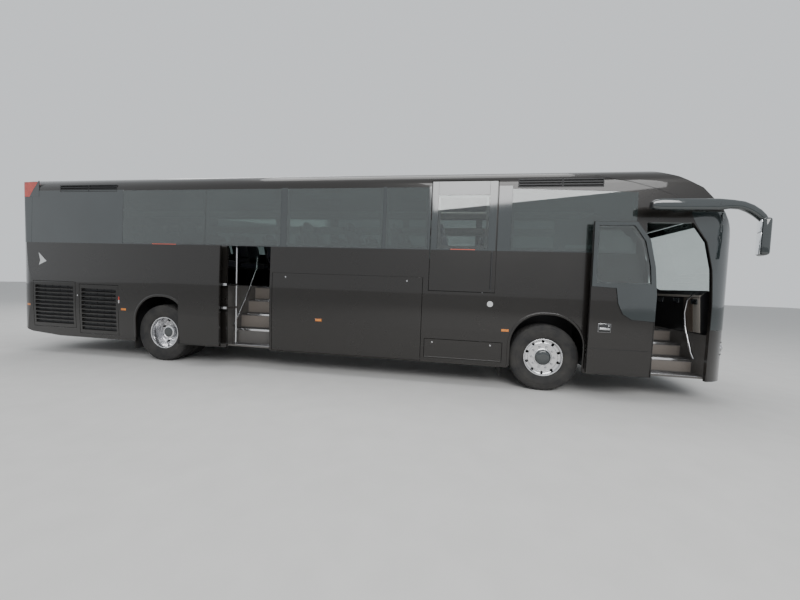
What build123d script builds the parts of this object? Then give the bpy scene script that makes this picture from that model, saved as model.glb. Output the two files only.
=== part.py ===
"""Coach bus: an integral body on two axles, with a swing door at the front and one amidships."""

from build123d import *
from math import atan2, cos, degrees, hypot, radians, sin
import os

# Driving sizes in millimetres: X forward, Y to the driver's side, Z up from the road
WHEELBASE = 6720
FRONT_OVERHANG = 2710
REAR_OVERHANG = 3330
WIDTH = 2550
HEIGHT = 3460
SILL_Z = 345

# Thicknesses and fits
WALL = 50
GLASS = 6
LAMP = 22
LINER = 15
SEAT = 0.3
SEAM = 8
RUNNING_GAP = 0.05

# Places that follow from the driving sizes
LENGTH = REAR_OVERHANG + WHEELBASE + FRONT_OVERHANG
HALF = WIDTH / 2
FRONT_X = LENGTH / 2
REAR_X = -LENGTH / 2
REAR_AXLE_X = REAR_X + REAR_OVERHANG
FRONT_AXLE_X = FRONT_X - FRONT_OVERHANG
FAR = LENGTH
RIGHT = (-WIDTH, 0)
LEFT = (0, WIDTH)
ACROSS = (-WIDTH, WIDTH)

# Cross-section of the body
LEAN_START_Z = 1500
TUCK_START_Z = 900
SILL_TUCK = 20
ROOF_LEAN = 53
ROOF_CORNER_DROP = 90
ROOF_CORNER_RADIUS = 230

# Plan of the body
FRONT_BOW = 300
FRONT_CORNER_RADIUS = 520
REAR_CORNER_RADIUS = 420

# Front and rear faces in the side view: distance in from the end of the body, then height
FRONT_PROFILE = [
    (60, SILL_Z),
    (0, 620),
    (0, 800),
    (35, 1000),
    (110, 1850),
    (200, 2280),
    (310, HEIGHT - 860),
    (540, HEIGHT - 560),
    (720, HEIGHT - 360),
    (1030, HEIGHT - 190),
    (1330, HEIGHT - 80),
    (1630, HEIGHT - 25),
    (1980, HEIGHT),
]
REAR_PROFILE = [
    (330, HEIGHT),
    (175, HEIGHT - 130),
    (110, HEIGHT - 560),
    (60, 2490),
    (20, 1540),
    (0, 1100),
    (60, 570),
    (150, 485),
    (420, 400),
    (1100, SILL_Z),
]

# Seams between the body panels
CANTRAIL_Z = HEIGHT - 170
REAR_SEAM_X = REAR_X + 240
FRONT_SEAM_X = FRONT_X - 480
SCREEN_BOTTOM_Z = 1080
SCREEN_TOP_Z = HEIGHT - 700
BUMPER_TOP_Z = 700
CAP_SEAM = [
    (FRONT_X - 2150, CANTRAIL_Z),
    (FRONT_X - 1600, HEIGHT - 280),
    (FRONT_X - 1060, HEIGHT - 475),
    (FRONT_X - 830, SCREEN_TOP_Z),
]
SCREEN_EDGE = [
    (FRONT_X - 830, SCREEN_TOP_Z),
    (FRONT_X - 560, HEIGHT - 1110),
    (FRONT_X - 440, 1500),
    (FRONT_X - 440, SCREEN_BOTTOM_Z),
]

# Wheels and axles
TYRE_RADIUS = 522
TYRE_WIDTH = 298
TYRE_SHOULDER = 30
TYRE_SIDES = 36
RIM_SIDES = 24
RIM_RADIUS = 290
BARREL_INSIDE = 276
DISH_INSIDE = 268
HUB_SIDES = 24
FRONT_RIM_HALF = 115
FRONT_DISC = (62, 80)
FRONT_HUB_RADIUS = 118
FRONT_HUB_END = 145
FRONT_HUB_BORE_END = 60
REAR_RIM_HALF = 280
REAR_DISC = (-10, 20)
REAR_HUB = (-120, 60)
REAR_HUB_RADIUS = 150
REAR_CAP_RADIUS = 120
REAR_CAP_END = 190
REAR_HUB_BORE_END = 100
TWIN_SPACING = 330
HAND_HOLES = 10
HAND_HOLE_SIDES = 6
HAND_HOLE_CIRCLE = 242
HAND_HOLE_RADIUS = 19
FRONT_HUB_Y = HALF - 235
REAR_HUB_Y = HALF - 365
SPINDLE_RADIUS = 60

# Steering
KINGPIN_INSET = 90
KINGPIN_Y = FRONT_HUB_Y - KINGPIN_INSET
KINGPIN_RADIUS = 25
KINGPIN_BOSS = 110
BOSS_HEIGHT = 120
KNUCKLE_EAR = 30
KNUCKLE_EAR_HALF = 45
KNUCKLE_WEB_HALF = 50
KNUCKLE_WEB_GAP = 9
STEERING_ARM = (215, 24)

# Wheel arches and housings
ARCH_HALF = 545
ARCH_TOP_Z = 1215
ARCH_CORNER = 500
FRONT_WELL_HALF = 640
REAR_WELL_HALF = 620
FRONT_WELL_Y = HALF - 775
REAR_WELL_Y = HALF - 730
WELL_TOP_Z = 1310
WELL_BOTTOM_Z = 400
AXLE_SLOT = 150
AXLE_SLOT_Z = 740

# Floors
DECK_Z = 1440
DECK = 40
BAY_FLOOR_Z = 420
BAY_FLOOR = 40
PLATFORM_Z = 1000
PLATFORM_FRONT_X = FRONT_X - 330
PLATFORM_REAR_X = FRONT_AXLE_X + 780
BULKHEAD = 40

# Glazing: panes between two places along the body
GLASS_BOTTOM_Z = 2170
GLASS_TOP_Z = HEIGHT - 320
GLASS_LAP = 40
RIGHT_PANES = [
    (REAR_AXLE_X - 829, REAR_AXLE_X + 885),
    (REAR_AXLE_X + 891, REAR_AXLE_X + 2325),
    (REAR_AXLE_X + 2443, FRONT_AXLE_X - 2609),
    (FRONT_AXLE_X - 2551, FRONT_AXLE_X - 1870),
]
LEFT_PANES = RIGHT_PANES[:3] + [
    (FRONT_AXLE_X - 2551, FRONT_AXLE_X - 929),
    (FRONT_AXLE_X - 870, FRONT_X - 1950),
]
FRONT_PANE = (FRONT_AXLE_X - 589, FRONT_X - 1550)
FRONT_PANE_TOP_Z = (HEIGHT - 355, HEIGHT - 420)
DRIVER_PANE = (FRONT_X - 1780, FRONT_X - 700)
DRIVER_PANE_Z = (1620, HEIGHT - 840)
DRIVER_PANE_CUT = (190, 420)
REAR_PANE_HALF = HALF - 375
REAR_PANE_Z = (2250, HEIGHT - 480)

# Air grilles under the cantrail, as rows of grooves
VENTS_X = [
    (REAR_AXLE_X - 2241, REAR_AXLE_X - 1608),
    (REAR_AXLE_X - 1588, REAR_AXLE_X - 984),
    (FRONT_AXLE_X - 502, FRONT_AXLE_X + 112),
    (FRONT_AXLE_X + 132, FRONT_X - 2030),
]
VENT_BOTTOM_Z = HEIGHT - 325
VENT_ROWS = 3
VENT_PITCH = 40
VENT_SLOT = 22

# Swing doors: opening in the side view and the travel of the leaf
LEAF = 45
DOOR_STANDOFF = 135
DOOR_CLOSING_ANGLE = -15
LEAF_REAR_GAP = 24
LEAF_GAP = 8
DOOR_BOTTOM_Z = 375
FRONT_DOOR_REAR_X = FRONT_X - 1415
FRONT_DOOR_TRAVEL = 780
FRONT_DOOR_TOP_Z = HEIGHT - 860
FRONT_DOOR_EDGE = [
    (FRONT_X - 530, DOOR_BOTTOM_Z),
    (FRONT_X - 523, 1450),
    (FRONT_X - 560, 1950),
    (FRONT_X - 640, HEIGHT - 1130),
    (FRONT_X - 820, FRONT_DOOR_TOP_Z),
]
MID_DOOR_X = (REAR_AXLE_X + 1330, REAR_AXLE_X + 2160)
MID_DOOR_TOP_Z = 2150
MID_DOOR_TRAVEL = 860
MID_DOOR_EDGE = [(MID_DOOR_X[1], DOOR_BOTTOM_Z), (MID_DOOR_X[1], MID_DOOR_TOP_Z)]
DOOR_GLASS_BOTTOM_Z = 1640
DOOR_GLASS_FRAME = 55

# Swing door linkage
STEP_Z = 400
STEP_PLATE = 30
POLE_RADIUS = 20
POLE_INSET_X = 64
PIN_DEPTH = 27
PIN_RADIUS = 8
ARM_WIDTH = 34
ARM_DEPTH = 40
ARM_END = 20
EAR = 14
EAR_HALF = 22
ELBOW_INSET = 12
ELBOW_STANDOFF = 58
ARM_HEIGHTS = (1060, 1470)

# Hinged flaps and doors in the walls
LIFT_DOOR_X = (FRONT_AXLE_X - 1817, FRONT_AXLE_X - 800)
LIFT_DOOR_Z = (LEAN_START_Z + 5, HEIGHT - 224)
LIFT_GLASS_X = (FRONT_AXLE_X - 1714, FRONT_AXLE_X - 929)
LIFT_GLASS_Z = (2180, HEIGHT - 450)
LIFT_FLAP_X = (FRONT_AXLE_X - 1852, FRONT_AXLE_X - 648)
LIFT_FLAP_Z = (430, 725)
LIFT_HINGE_RISE = 2
BAY_FLAP_Z = (365, 1700)
RIGHT_BAY_X = (REAR_AXLE_X + 2210, FRONT_AXLE_X - 1920)
LEFT_BAYS_END = (REAR_AXLE_X + 690, FRONT_AXLE_X - 760)
LEFT_BAY_GAP = 40
LEFT_BAY = (LEFT_BAYS_END[1] - LEFT_BAYS_END[0] - LEFT_BAY_GAP) / 2
LEFT_BAYS_X = [
    (LEFT_BAYS_END[0], LEFT_BAYS_END[0] + LEFT_BAY),
    (LEFT_BAYS_END[1] - LEFT_BAY, LEFT_BAYS_END[1]),
]
REAR_LOUVRE_X = (REAR_X + 475, REAR_AXLE_X - 1874)
REAR_LOUVRE_Z = (520, 1400)
FRONT_LOUVRE_X = (REAR_AXLE_X - 1774, REAR_AXLE_X - 911)
FRONT_LOUVRE_Z = (430, 1365)
LOUVRE_COUNT = 10
LOUVRE_FRAME = 45
LOUVRE_SLAT = 20
LOUVRE_RISE = 26
HATCH_HALF = HALF - 395
HATCH_Z = (700, 1780)

# Seats: side outline as distance forward and height over the floor
SEAT_PITCH = 790
AISLE_HALF = 260
SEAT_WALL_GAP = 65
SEAT_PAIR_WIDTH = HALF - WALL - SEAT_WALL_GAP - AISLE_HALF
FIRST_SEAT_X = REAR_X + 560
SEAT_RAKE = 150
SEAT_DEPTH = 520
SEAT_OUTLINE = [
    (90, 0),
    (90, 340),
    (0, 380),
    (-SEAT_RAKE, 1120),
    (20 - SEAT_RAKE, 1170),
    (90 - SEAT_RAKE, 1180),
    (120, 490),
    (SEAT_DEPTH - 60, 510),
    (SEAT_DEPTH, 470),
    (SEAT_DEPTH, 400),
    (SEAT_DEPTH - 130, 340),
    (SEAT_DEPTH - 130, 0),
]
DRIVER_Y = HALF - 655
DRIVER_SEAT_X = FRONT_X - 1560
DRIVER_SEAT_WIDTH = 520
DRIVER_SEAT_OUTLINE = [
    (100, 0),
    (100, 380),
    (0, 400),
    (-130, 1180),
    (-40, 1210),
    (110, 510),
    (500, 530),
    (500, 430),
    (360, 380),
    (360, 0),
]

# Lamps
CORNER_LAMP_X = (REAR_SEAM_X, REAR_SEAM_X + 320)
CORNER_LAMP_Z = (CANTRAIL_Z - 250, CANTRAIL_Z)
TAIL_LAMP_Y = (HALF - 315, HALF - 75)
TAIL_LAMP_Z = (820, 1480)
HEADLAMP_Y = (HALF - 655, HALF - 145)
HEADLAMP_Z = (730, 900)
MARKER_HALF = 55
MARKER_Z = (910, 946)
MARKERS_X = (REAR_X + 340, REAR_AXLE_X - 790, FRONT_AXLE_X - 610)

# Stairs
STAIR_START_Y = HALF - 50
FRONT_STEPS = 3
FRONT_TREAD = 265
MID_STEPS = 4
MID_TREAD = 220
AISLE_STEP = 250
AISLE_STEP_HALF = 350

# Underframe and engine
RAIL_Y = (330, 390)
FRONT_RAIL_Z = (690, 760)
REAR_RAIL_Z = (760, 850)
ENGINE_X = (REAR_X + 380, REAR_X + 1480)
ENGINE_HALF = 320
ENGINE_Z = (560, 1300)
CRADLE = 100
CRADLE_PLATE = 40
CRADLES_X = (ENGINE_X[0] + 100, ENGINE_X[1] - 200)
TOW_Z = 520
TOW_BEAM = 60
TOW_BEAM_HALF = 700
TOW_BEAM_FRONT_X = FRONT_X - 420
TOW_BEAM_REAR_X = REAR_X + 300
TOW_LENGTH = 80
TOW_BOSS = 45
TOW_BORE = 20
TOW_HOLE = 70

# Axles
AXLE_Z = TYRE_RADIUS
BEAM_HALF = 45
BEAM_END_Z = (AXLE_Z - 40, AXLE_Z + 40)
BEAM_MIDDLE_Z = (AXLE_Z - 130, AXLE_Z - 40)
BEAM_BENDS_Y = (KINGPIN_Y - 390, KINGPIN_Y - 250)
SPRING_RADIUS = 60
SPRING_SIDES = 12
LINK = 40
AXLE_TUBE_RADIUS = 75
GEAR_RADIUS = 190
GEAR_HALF = 120
BRAKE_RADIUS = 200
BRAKE_Y = (REAR_HUB_Y - 270, REAR_HUB_Y - 130)
SHAFT_RADIUS = 40
SHAFT_Z = ENGINE_Z[0] + 60

# Dashboard: outlines in the side view as distance back from the front, then height
DASH_HALF = HALF - 215
DASH_OUTLINE = [(500, PLATFORM_Z), (540, 1560), (450, 1640), (0, 1500), (0, PLATFORM_Z)]
CONSOLE_OUTLINE = [
    (800, PLATFORM_Z),
    (840, 1400),
    (740, 1640),
    (500, 1700),
    (400, 1640),
    (400, PLATFORM_Z),
]
CONSOLE_INSIDE_Y = 120
STEERING_CENTRE = (FRONT_X - 1000, DRIVER_Y, 1730)
STEERING_RADII = (209, 241)
STEERING_SIDES = 24
STEERING_GRIP = 32
SPOKE = (30, 16)
HUB_RADIUS = 50
HUB_DEPTH = 50
COLUMN_TILT = 30
COLUMN_LENGTH = 500
COLUMN_RADIUS = 35

# Cabin fittings
RACK_X = (REAR_X + 480, FRONT_X - 2100)
RACK_Y = HALF - 475
RACK_Z = DECK_Z + 1300
RACK_PLATE = 20
RACK_LIP = 110
RAIL_RADIUS = 17
RAIL_HEIGHT = 900
RAIL_STANDOFF = 40

# Mirrors: outline of the horn in the side view as distance back from the front, then height
HORN_OUTLINE = [
    (1480, HEIGHT - 720),
    (1480, HEIGHT - 610),
    (680, HEIGHT - 580),
    (440, HEIGHT - 600),
    (200, HEIGHT - 680),
    (90, HEIGHT - 810),
    (190, HEIGHT - 850),
    (290, HEIGHT - 770),
    (460, HEIGHT - 715),
    (680, HEIGHT - 730),
    (1400, HEIGHT - 748),
]
HORN_Y = (HALF + 120, HALF + 230)
HORN_ROOT_X = (FRONT_X - 1100, FRONT_X - 900)
HORN_ROOT_Z = (HEIGHT - 720, HEIGHT - 610)
HORN_ROOT_DEPTH = 3 * WALL
MIRROR_CENTRE = (FRONT_X - 125, HALF + 190, HEIGHT - 1085)
MIRROR_SIZE = (100, 240, 490)
MIRROR_CORNER = 35
MIRROR_TURN = 27

# Roof hatches
ROOF_HATCH_HALF = 350
ROOF_HATCHES_X = (REAR_X + 3750, FRONT_X - 3950)


def section_corners(inset):
    """Half cross-section corners from the open sill to the roof corner, inside the skin."""
    return [
        (HALF - SILL_TUCK - inset, SILL_Z - inset),
        (HALF - inset, TUCK_START_Z),
        (HALF - inset, LEAN_START_Z),
        (HALF - ROOF_LEAN - inset, HEIGHT - ROOF_CORNER_DROP - inset),
    ]


def envelope(inset):
    """Body shape inside the outer skin: cross-section, plan and side profile crossed."""
    right = section_corners(inset)
    left = [(-y, z) for y, z in right]
    rear_x = REAR_X + inset
    front_x = FRONT_X - inset
    bow_x = front_x - FRONT_BOW
    side = HALF - inset
    front = [(FRONT_X - back - inset, z - inset) for back, z in FRONT_PROFILE]
    rear = [(REAR_X + back + inset, z - inset) for back, z in REAR_PROFILE]
    with BuildPart() as body:
        with BuildSketch(Plane.YZ.offset(-LENGTH)):
            with BuildLine():
                Polyline(*left[::-1], *right)
                ThreePointArc(right[-1], (0, HEIGHT - inset), left[-1])
            make_face()
            fillet(vertices().group_by(Axis.Y)[-1], ROOF_CORNER_RADIUS - inset)
        extrude(amount=2 * LENGTH)
        with BuildSketch(Plane.XY):
            with BuildLine():
                Polyline((bow_x, -side), (rear_x, -side), (rear_x, side), (bow_x, side))
                ThreePointArc((bow_x, side), (front_x, 0), (bow_x, -side))
            make_face()
            fillet(vertices().group_by(Axis.X)[0], REAR_CORNER_RADIUS - inset)
            fillet(vertices().group_by(Axis.X)[-1], FRONT_CORNER_RADIUS - inset)
        extrude(amount=2 * HEIGHT, mode=Mode.INTERSECT)
        with BuildSketch(Plane.XZ.offset(-WIDTH)):
            with BuildLine():
                Polyline(*front, *rear, close=True)
            make_face()
        extrude(amount=2 * WIDTH, mode=Mode.INTERSECT)
    return body.part


def side_prism(points, y=ACROSS):
    """Solid with an outline drawn in the side view, between two widths."""
    with BuildPart() as prism:
        with BuildSketch(Plane.XZ.offset(-y[1])):
            with BuildLine():
                Polyline(*points, close=True)
            make_face()
        extrude(amount=y[1] - y[0])
    return prism.part


def cross_prism(points, x):
    """Solid with an outline drawn in the cross-section, between two places along the body."""
    with BuildPart() as prism:
        with BuildSketch(Plane.YZ.offset(x[0])):
            with BuildLine():
                Polyline(*points, close=True)
            make_face()
        extrude(amount=x[1] - x[0])
    return prism.part


def block(x, y, z):
    """Box between the low and high limit on each axis."""
    with BuildPart() as solid:
        with Locations(((x[0] + x[1]) / 2, (y[0] + y[1]) / 2, (z[0] + z[1]) / 2)):
            Box(x[1] - x[0], y[1] - y[0], z[1] - z[0])
    return solid.part


def rod(centre, radius, length, axis):
    """Round bar about a centre point, along X, Y or Z."""
    turns = {"x": (0, 90, 0), "y": (90, 0, 0), "z": (0, 0, 0)}
    with BuildPart() as solid:
        with Locations(Location(centre, turns[axis])):
            Cylinder(radius, length)
    return solid.part


def rectangle(x, z):
    """Corners of an upright rectangle in the side view."""
    return [(x[0], z[0]), (x[1], z[0]), (x[1], z[1]), (x[0], z[1])]


def grown(limits, margin):
    """Limits moved outwards by a margin at each end."""
    return (limits[0] - margin, limits[1] + margin)


def shifted(limits, distance):
    """Limits moved along by a distance."""
    return (limits[0] + distance, limits[1] + distance)


def sided(limits, sign):
    """Widths on one side of the body: positive to the left, negative to the right."""
    return limits if sign > 0 else (-limits[1], -limits[0])


def pair(x, y, z, margin=0):
    """The same block on the left and the right, grown by a margin."""
    return [block(grown(x, margin), grown(sided(y, s), margin), grown(z, margin)) for s in (1, -1)]


def from_front(outline):
    """Outline given as distances back from the front, as points in the side view."""
    return [(FRONT_X - back, z) for back, z in outline]


def trimmed(layer, regions):
    """The parts of a skin layer that lie inside any of the regions."""
    with BuildPart() as pieces:
        for region in regions:
            add(region)
        add(layer, mode=Mode.INTERSECT)
    return pieces.part


def skin_layer(inside):
    """Layer between the outer surface and one of the shapes inside it."""
    with BuildPart() as layer:
        add(outer)
        add(inside, mode=Mode.SUBTRACT)
    return layer.part


def write(piece, name):
    """Label a finished piece and write its file."""
    piece.part.label = name
    export_step(piece.part, f"parts/{name}.step")


def side_y(z):
    """Half width of the outer skin at a height below the roof corner."""
    if z < TUCK_START_Z:
        return HALF - SILL_TUCK * (TUCK_START_Z - z) / (TUCK_START_Z - SILL_Z)
    if z < LEAN_START_Z:
        return HALF
    return HALF - ROOF_LEAN * (z - LEAN_START_Z) / (HEIGHT - ROOF_CORNER_DROP - LEAN_START_Z)


def rear_face_x(z):
    """Outer skin of the flat rear face at a height."""
    corners = sorted((height, REAR_X + back) for back, height in REAR_PROFILE)
    for (z0, x0), (z1, x1) in zip(corners, corners[1:]):
        if z0 <= z <= z1:
            return x0 + (x1 - x0) * (z - z0) / (z1 - z0)
    return REAR_X


os.makedirs("parts", exist_ok=True)

# Body shapes at the depths that the panels need
outer = envelope(0)
room = envelope(WALL + SEAT)
skin = skin_layer(envelope(WALL))
glass_layer = skin_layer(envelope(GLASS))
rebate_layer = skin_layer(envelope(GLASS + SEAT))
lamp_layer = skin_layer(envelope(LAMP))
lamp_rebate_layer = skin_layer(envelope(LAMP + SEAT))
leaf_layer = skin_layer(envelope(LEAF))

# Regions of the side view that each panel takes
roof_region = side_prism(
    [(-FAR, CANTRAIL_Z), *CAP_SEAM, (FAR, SCREEN_TOP_Z), (FAR, 2 * HEIGHT), (-FAR, 2 * HEIGHT)]
)
screen_region = side_prism([*SCREEN_EDGE, (FAR, SCREEN_BOTTOM_Z), (FAR, SCREEN_TOP_Z)])
front_region = block((FRONT_SEAM_X, FAR), ACROSS, (BUMPER_TOP_Z, SCREEN_BOTTOM_Z))
bumper_region = block((FRONT_SEAM_X, FAR), ACROSS, (0, BUMPER_TOP_Z))
rear_region = block((-FAR, REAR_SEAM_X), ACROSS, (0, CANTRAIL_Z))


def arch(axle_x):
    """Wheel arch outline as a solid through the body, with round shoulders."""
    with BuildPart() as cut:
        with BuildSketch(Plane.XZ.offset(-WIDTH)):
            with Locations((axle_x, ARCH_TOP_Z / 2)):
                Rectangle(2 * ARCH_HALF, ARCH_TOP_Z)
            fillet(vertices().group_by(Axis.Y)[-1], ARCH_CORNER)
        extrude(amount=2 * WIDTH)
    return cut.part


def pane_outlines(panes, margin):
    """Side-view rectangles of a row of panes, shrunk or grown by a margin."""
    z = grown((GLASS_BOTTOM_Z, GLASS_TOP_Z), margin)
    return [rectangle(grown(x, margin), z) for x in panes]


def front_pane_outline(margin):
    """Front side pane, whose top edge falls with the roof cap."""
    x = grown(FRONT_PANE, margin)
    low = GLASS_BOTTOM_Z - margin
    rear_top, front_top = FRONT_PANE_TOP_Z
    return [(x[0], low), (x[1], low), (x[1], front_top + margin), (x[0], rear_top + margin)]


def driver_pane_outline(margin):
    """Driver's window, lower than the others and cut back with the screen pillar."""
    x = grown(DRIVER_PANE, margin)
    z = grown(DRIVER_PANE_Z, margin)
    cut_x, cut_z = DRIVER_PANE_CUT
    return [(x[0], z[0]), (x[1], z[0]), (x[1], z[1] - cut_z), (x[1] - cut_x, z[1]), (x[0], z[1])]


def right_outlines(margin):
    """Outlines of all the fixed panes in the right wall."""
    return pane_outlines(RIGHT_PANES, margin) + [front_pane_outline(margin)]


def left_outlines(margin):
    """Outlines of all the fixed panes in the left wall."""
    return pane_outlines(LEFT_PANES, margin) + [driver_pane_outline(margin)]


def door_outline(rear_x, edge, margin, rear_margin):
    """Door outline from its rear edge to the curved front edge, shrunk by margins."""
    low = edge[0][1] + margin
    high = edge[-1][1] - margin
    front_edge = [(x - margin, min(max(z, low), high)) for x, z in edge]
    return [(rear_x + rear_margin, high), (rear_x + rear_margin, low), *front_edge]


# Lamps let into the skin: high corner lamps, tail lamps, headlamps and side markers
rear_face = (-FAR, REAR_SEAM_X)
front_face = (FRONT_SEAM_X, FAR)
markers = [((x - MARKER_HALF, x + MARKER_HALF), ACROSS, MARKER_Z) for x in MARKERS_X]
corner_lamps = (CORNER_LAMP_X, ACROSS, CORNER_LAMP_Z)

with BuildPart() as tail_lamps:
    add(trimmed(lamp_layer, [block(*corner_lamps), *pair(rear_face, TAIL_LAMP_Y, TAIL_LAMP_Z)]))
write(tail_lamps, "tail_lamps")

with BuildPart() as headlamps:
    add(trimmed(lamp_layer, pair(front_face, HEADLAMP_Y, HEADLAMP_Z)))
write(headlamps, "headlamps")

with BuildPart() as side_markers:
    add(trimmed(glass_layer, [block(*marker) for marker in markers]))
write(side_markers, "side_markers")

marker_seats = [block(grown(x, SEAT), y, grown(z, SEAT)) for x, y, z in markers]
corner_lamp_seat = block(grown(CORNER_LAMP_X, SEAT), ACROSS, grown(CORNER_LAMP_Z, SEAT))

# Side and rear windows, flush with the skin
rear_pane = (-REAR_PANE_HALF, REAR_PANE_HALF)
right_panes = [side_prism(outline, RIGHT) for outline in right_outlines(0)]
left_panes = [side_prism(outline, LEFT) for outline in left_outlines(0)]

with BuildPart() as windows:
    add(trimmed(glass_layer, right_panes + left_panes + [block(rear_face, rear_pane, REAR_PANE_Z)]))
write(windows, "windows")

# Side walls with their windows, arches, grilles, door openings and flap openings
other_panels = [roof_region, screen_region, front_region, bumper_region, rear_region]
arches = [arch(REAR_AXLE_X), arch(FRONT_AXLE_X)]
grooves = [
    block(x, ACROSS, (VENT_BOTTOM_Z + n * VENT_PITCH, VENT_BOTTOM_Z + n * VENT_PITCH + VENT_SLOT))
    for x in VENTS_X
    for n in range(VENT_ROWS)
]
right_flaps = [
    (RIGHT_BAY_X, BAY_FLAP_Z),
    (LIFT_FLAP_X, LIFT_FLAP_Z),
    (LIFT_DOOR_X, LIFT_DOOR_Z),
    (REAR_LOUVRE_X, REAR_LOUVRE_Z),
    (FRONT_LOUVRE_X, FRONT_LOUVRE_Z),
]
left_flaps = [(x, BAY_FLAP_Z) for x in LEFT_BAYS_X] + [(REAR_LOUVRE_X, REAR_LOUVRE_Z)]
right_doorways = [
    door_outline(FRONT_DOOR_REAR_X, [(FRONT_DOOR_EDGE[0][0], 0), *FRONT_DOOR_EDGE[1:]], 0, 0),
    door_outline(MID_DOOR_X[0], [(MID_DOOR_X[1], 0), MID_DOOR_EDGE[1]], 0, 0),
]
right_seams = (MID_DOOR_X[0] - SEAT, MID_DOOR_X[1], FRONT_DOOR_REAR_X - SEAT)


def side_wall(side, outlines, flaps, doorways, seams):
    """Wall of one side in sections, with seats for its panes and lamps and all its openings."""
    with BuildPart() as wall:
        add(skin)
        add(block((-FAR, FAR), side, (0, 2 * HEIGHT)), mode=Mode.INTERSECT)
        for cut in other_panels + arches:
            add(cut, mode=Mode.SUBTRACT)
        pane_seats = [side_prism(outline, side) for outline in outlines(SEAT)]
        add(trimmed(rebate_layer, pane_seats + marker_seats), mode=Mode.SUBTRACT)
        add(trimmed(lamp_rebate_layer, [corner_lamp_seat, *grooves]), mode=Mode.SUBTRACT)
        for outline in outlines(-GLASS_LAP) + doorways:
            add(side_prism(outline, side), mode=Mode.SUBTRACT)
        for x, z in flaps:
            add(side_prism(rectangle(grown(x, SEAM), grown(z, SEAM)), side), mode=Mode.SUBTRACT)
        for x in seams:
            add(block((x, x + SEAT), side, (0, 2 * HEIGHT)), mode=Mode.SUBTRACT)
    return wall


write(side_wall(RIGHT, right_outlines, right_flaps, right_doorways, right_seams), "right_wall")
write(side_wall(LEFT, left_outlines, left_flaps, [], []), "left_wall")

# Roof with two hatches let in
with BuildPart() as roof:
    add(skin)
    add(roof_region, mode=Mode.INTERSECT)
    for margin, mode in ((0, Mode.SUBTRACT), (-SEAT, Mode.ADD)):
        hatch_y = grown((-ROOF_HATCH_HALF, ROOF_HATCH_HALF), margin)
        for x in ROOF_HATCHES_X:
            hatch_x = grown((x - ROOF_HATCH_HALF, x + ROOF_HATCH_HALF), margin)
            add(trimmed(skin, [block(hatch_x, hatch_y, (CANTRAIL_Z, 2 * HEIGHT))]), mode=mode)
write(roof, "roof")

# Front: windscreen, panel with the lamps, and bumper with the towing hole
with BuildPart() as windscreen:
    add(trimmed(glass_layer, [screen_region]))
write(windscreen, "windscreen")

with BuildPart() as front_panel:
    add(trimmed(skin, [front_region]))
    headlamp_seats = pair(front_face, HEADLAMP_Y, HEADLAMP_Z, SEAT)
    add(trimmed(lamp_rebate_layer, headlamp_seats), mode=Mode.SUBTRACT)
write(front_panel, "front_panel")

with BuildPart() as front_bumper:
    add(trimmed(skin, [bumper_region]))
    add(rod((FRONT_X, 0, TOW_Z), TOW_HOLE, 4 * WALL, "x"), mode=Mode.SUBTRACT)
write(front_bumper, "front_bumper")

# Rear: panel with window, hatch opening, lamps and the towing hole
hatch_y = (-HATCH_HALF, HATCH_HALF)
hatch_opening = block((-FAR, REAR_SEAM_X + WALL), grown(hatch_y, SEAM), grown(HATCH_Z, SEAM))
rear_pane_seat = block(rear_face, grown(rear_pane, SEAT), grown(REAR_PANE_Z, SEAT))
rear_pane_hole = block(rear_face, grown(rear_pane, -GLASS_LAP), grown(REAR_PANE_Z, -GLASS_LAP))
tail_lamp_seats = pair(rear_face, TAIL_LAMP_Y, TAIL_LAMP_Z, SEAT)

with BuildPart() as rear_panel:
    add(trimmed(skin, [rear_region]))
    add(hatch_opening, mode=Mode.SUBTRACT)
    add(trimmed(rebate_layer, [rear_pane_seat]), mode=Mode.SUBTRACT)
    add(rear_pane_hole, mode=Mode.SUBTRACT)
    add(trimmed(lamp_rebate_layer, tail_lamp_seats), mode=Mode.SUBTRACT)
    add(rod((REAR_X, 0, TOW_Z), TOW_HOLE, 6 * WALL, "x"), mode=Mode.SUBTRACT)
write(rear_panel, "rear_panel")

# Flaps cut from the skin, each with a hinge barrel that fills the seam
BARREL = SEAM - SEAT
BARREL_DEPTH = SEAM


def flat_barrel(x, z, sign, radius):
    """Hinge barrel along X at the top or bottom edge of a flap."""
    y = sign * (side_y(z) - BARREL_DEPTH)
    return rod(((x[0] + x[1]) / 2, y, z), radius, x[1] - x[0], "x")


bay_flaps = [("right_bay_flap", RIGHT_BAY_X, -1)]
bay_flaps += [(f"left_bay_flap_{n + 1}", x, 1) for n, x in enumerate(LEFT_BAYS_X)]

for name, x, sign in bay_flaps:
    with BuildPart() as bay_flap:
        side = LEFT if sign > 0 else RIGHT
        add(trimmed(leaf_layer, [side_prism(rectangle(x, BAY_FLAP_Z), side)]))
        add(flat_barrel(x, BAY_FLAP_Z[1], sign, BARREL))
    write(bay_flap, name)

with BuildPart() as lift_flap:
    lift_hinge_z = LIFT_FLAP_Z[0] + LIFT_HINGE_RISE
    add(trimmed(leaf_layer, [side_prism(rectangle(LIFT_FLAP_X, LIFT_FLAP_Z), RIGHT)]))
    add(flat_barrel(LIFT_FLAP_X, lift_hinge_z, -1, BARREL + LIFT_HINGE_RISE))
write(lift_flap, "lift_flap")


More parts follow.
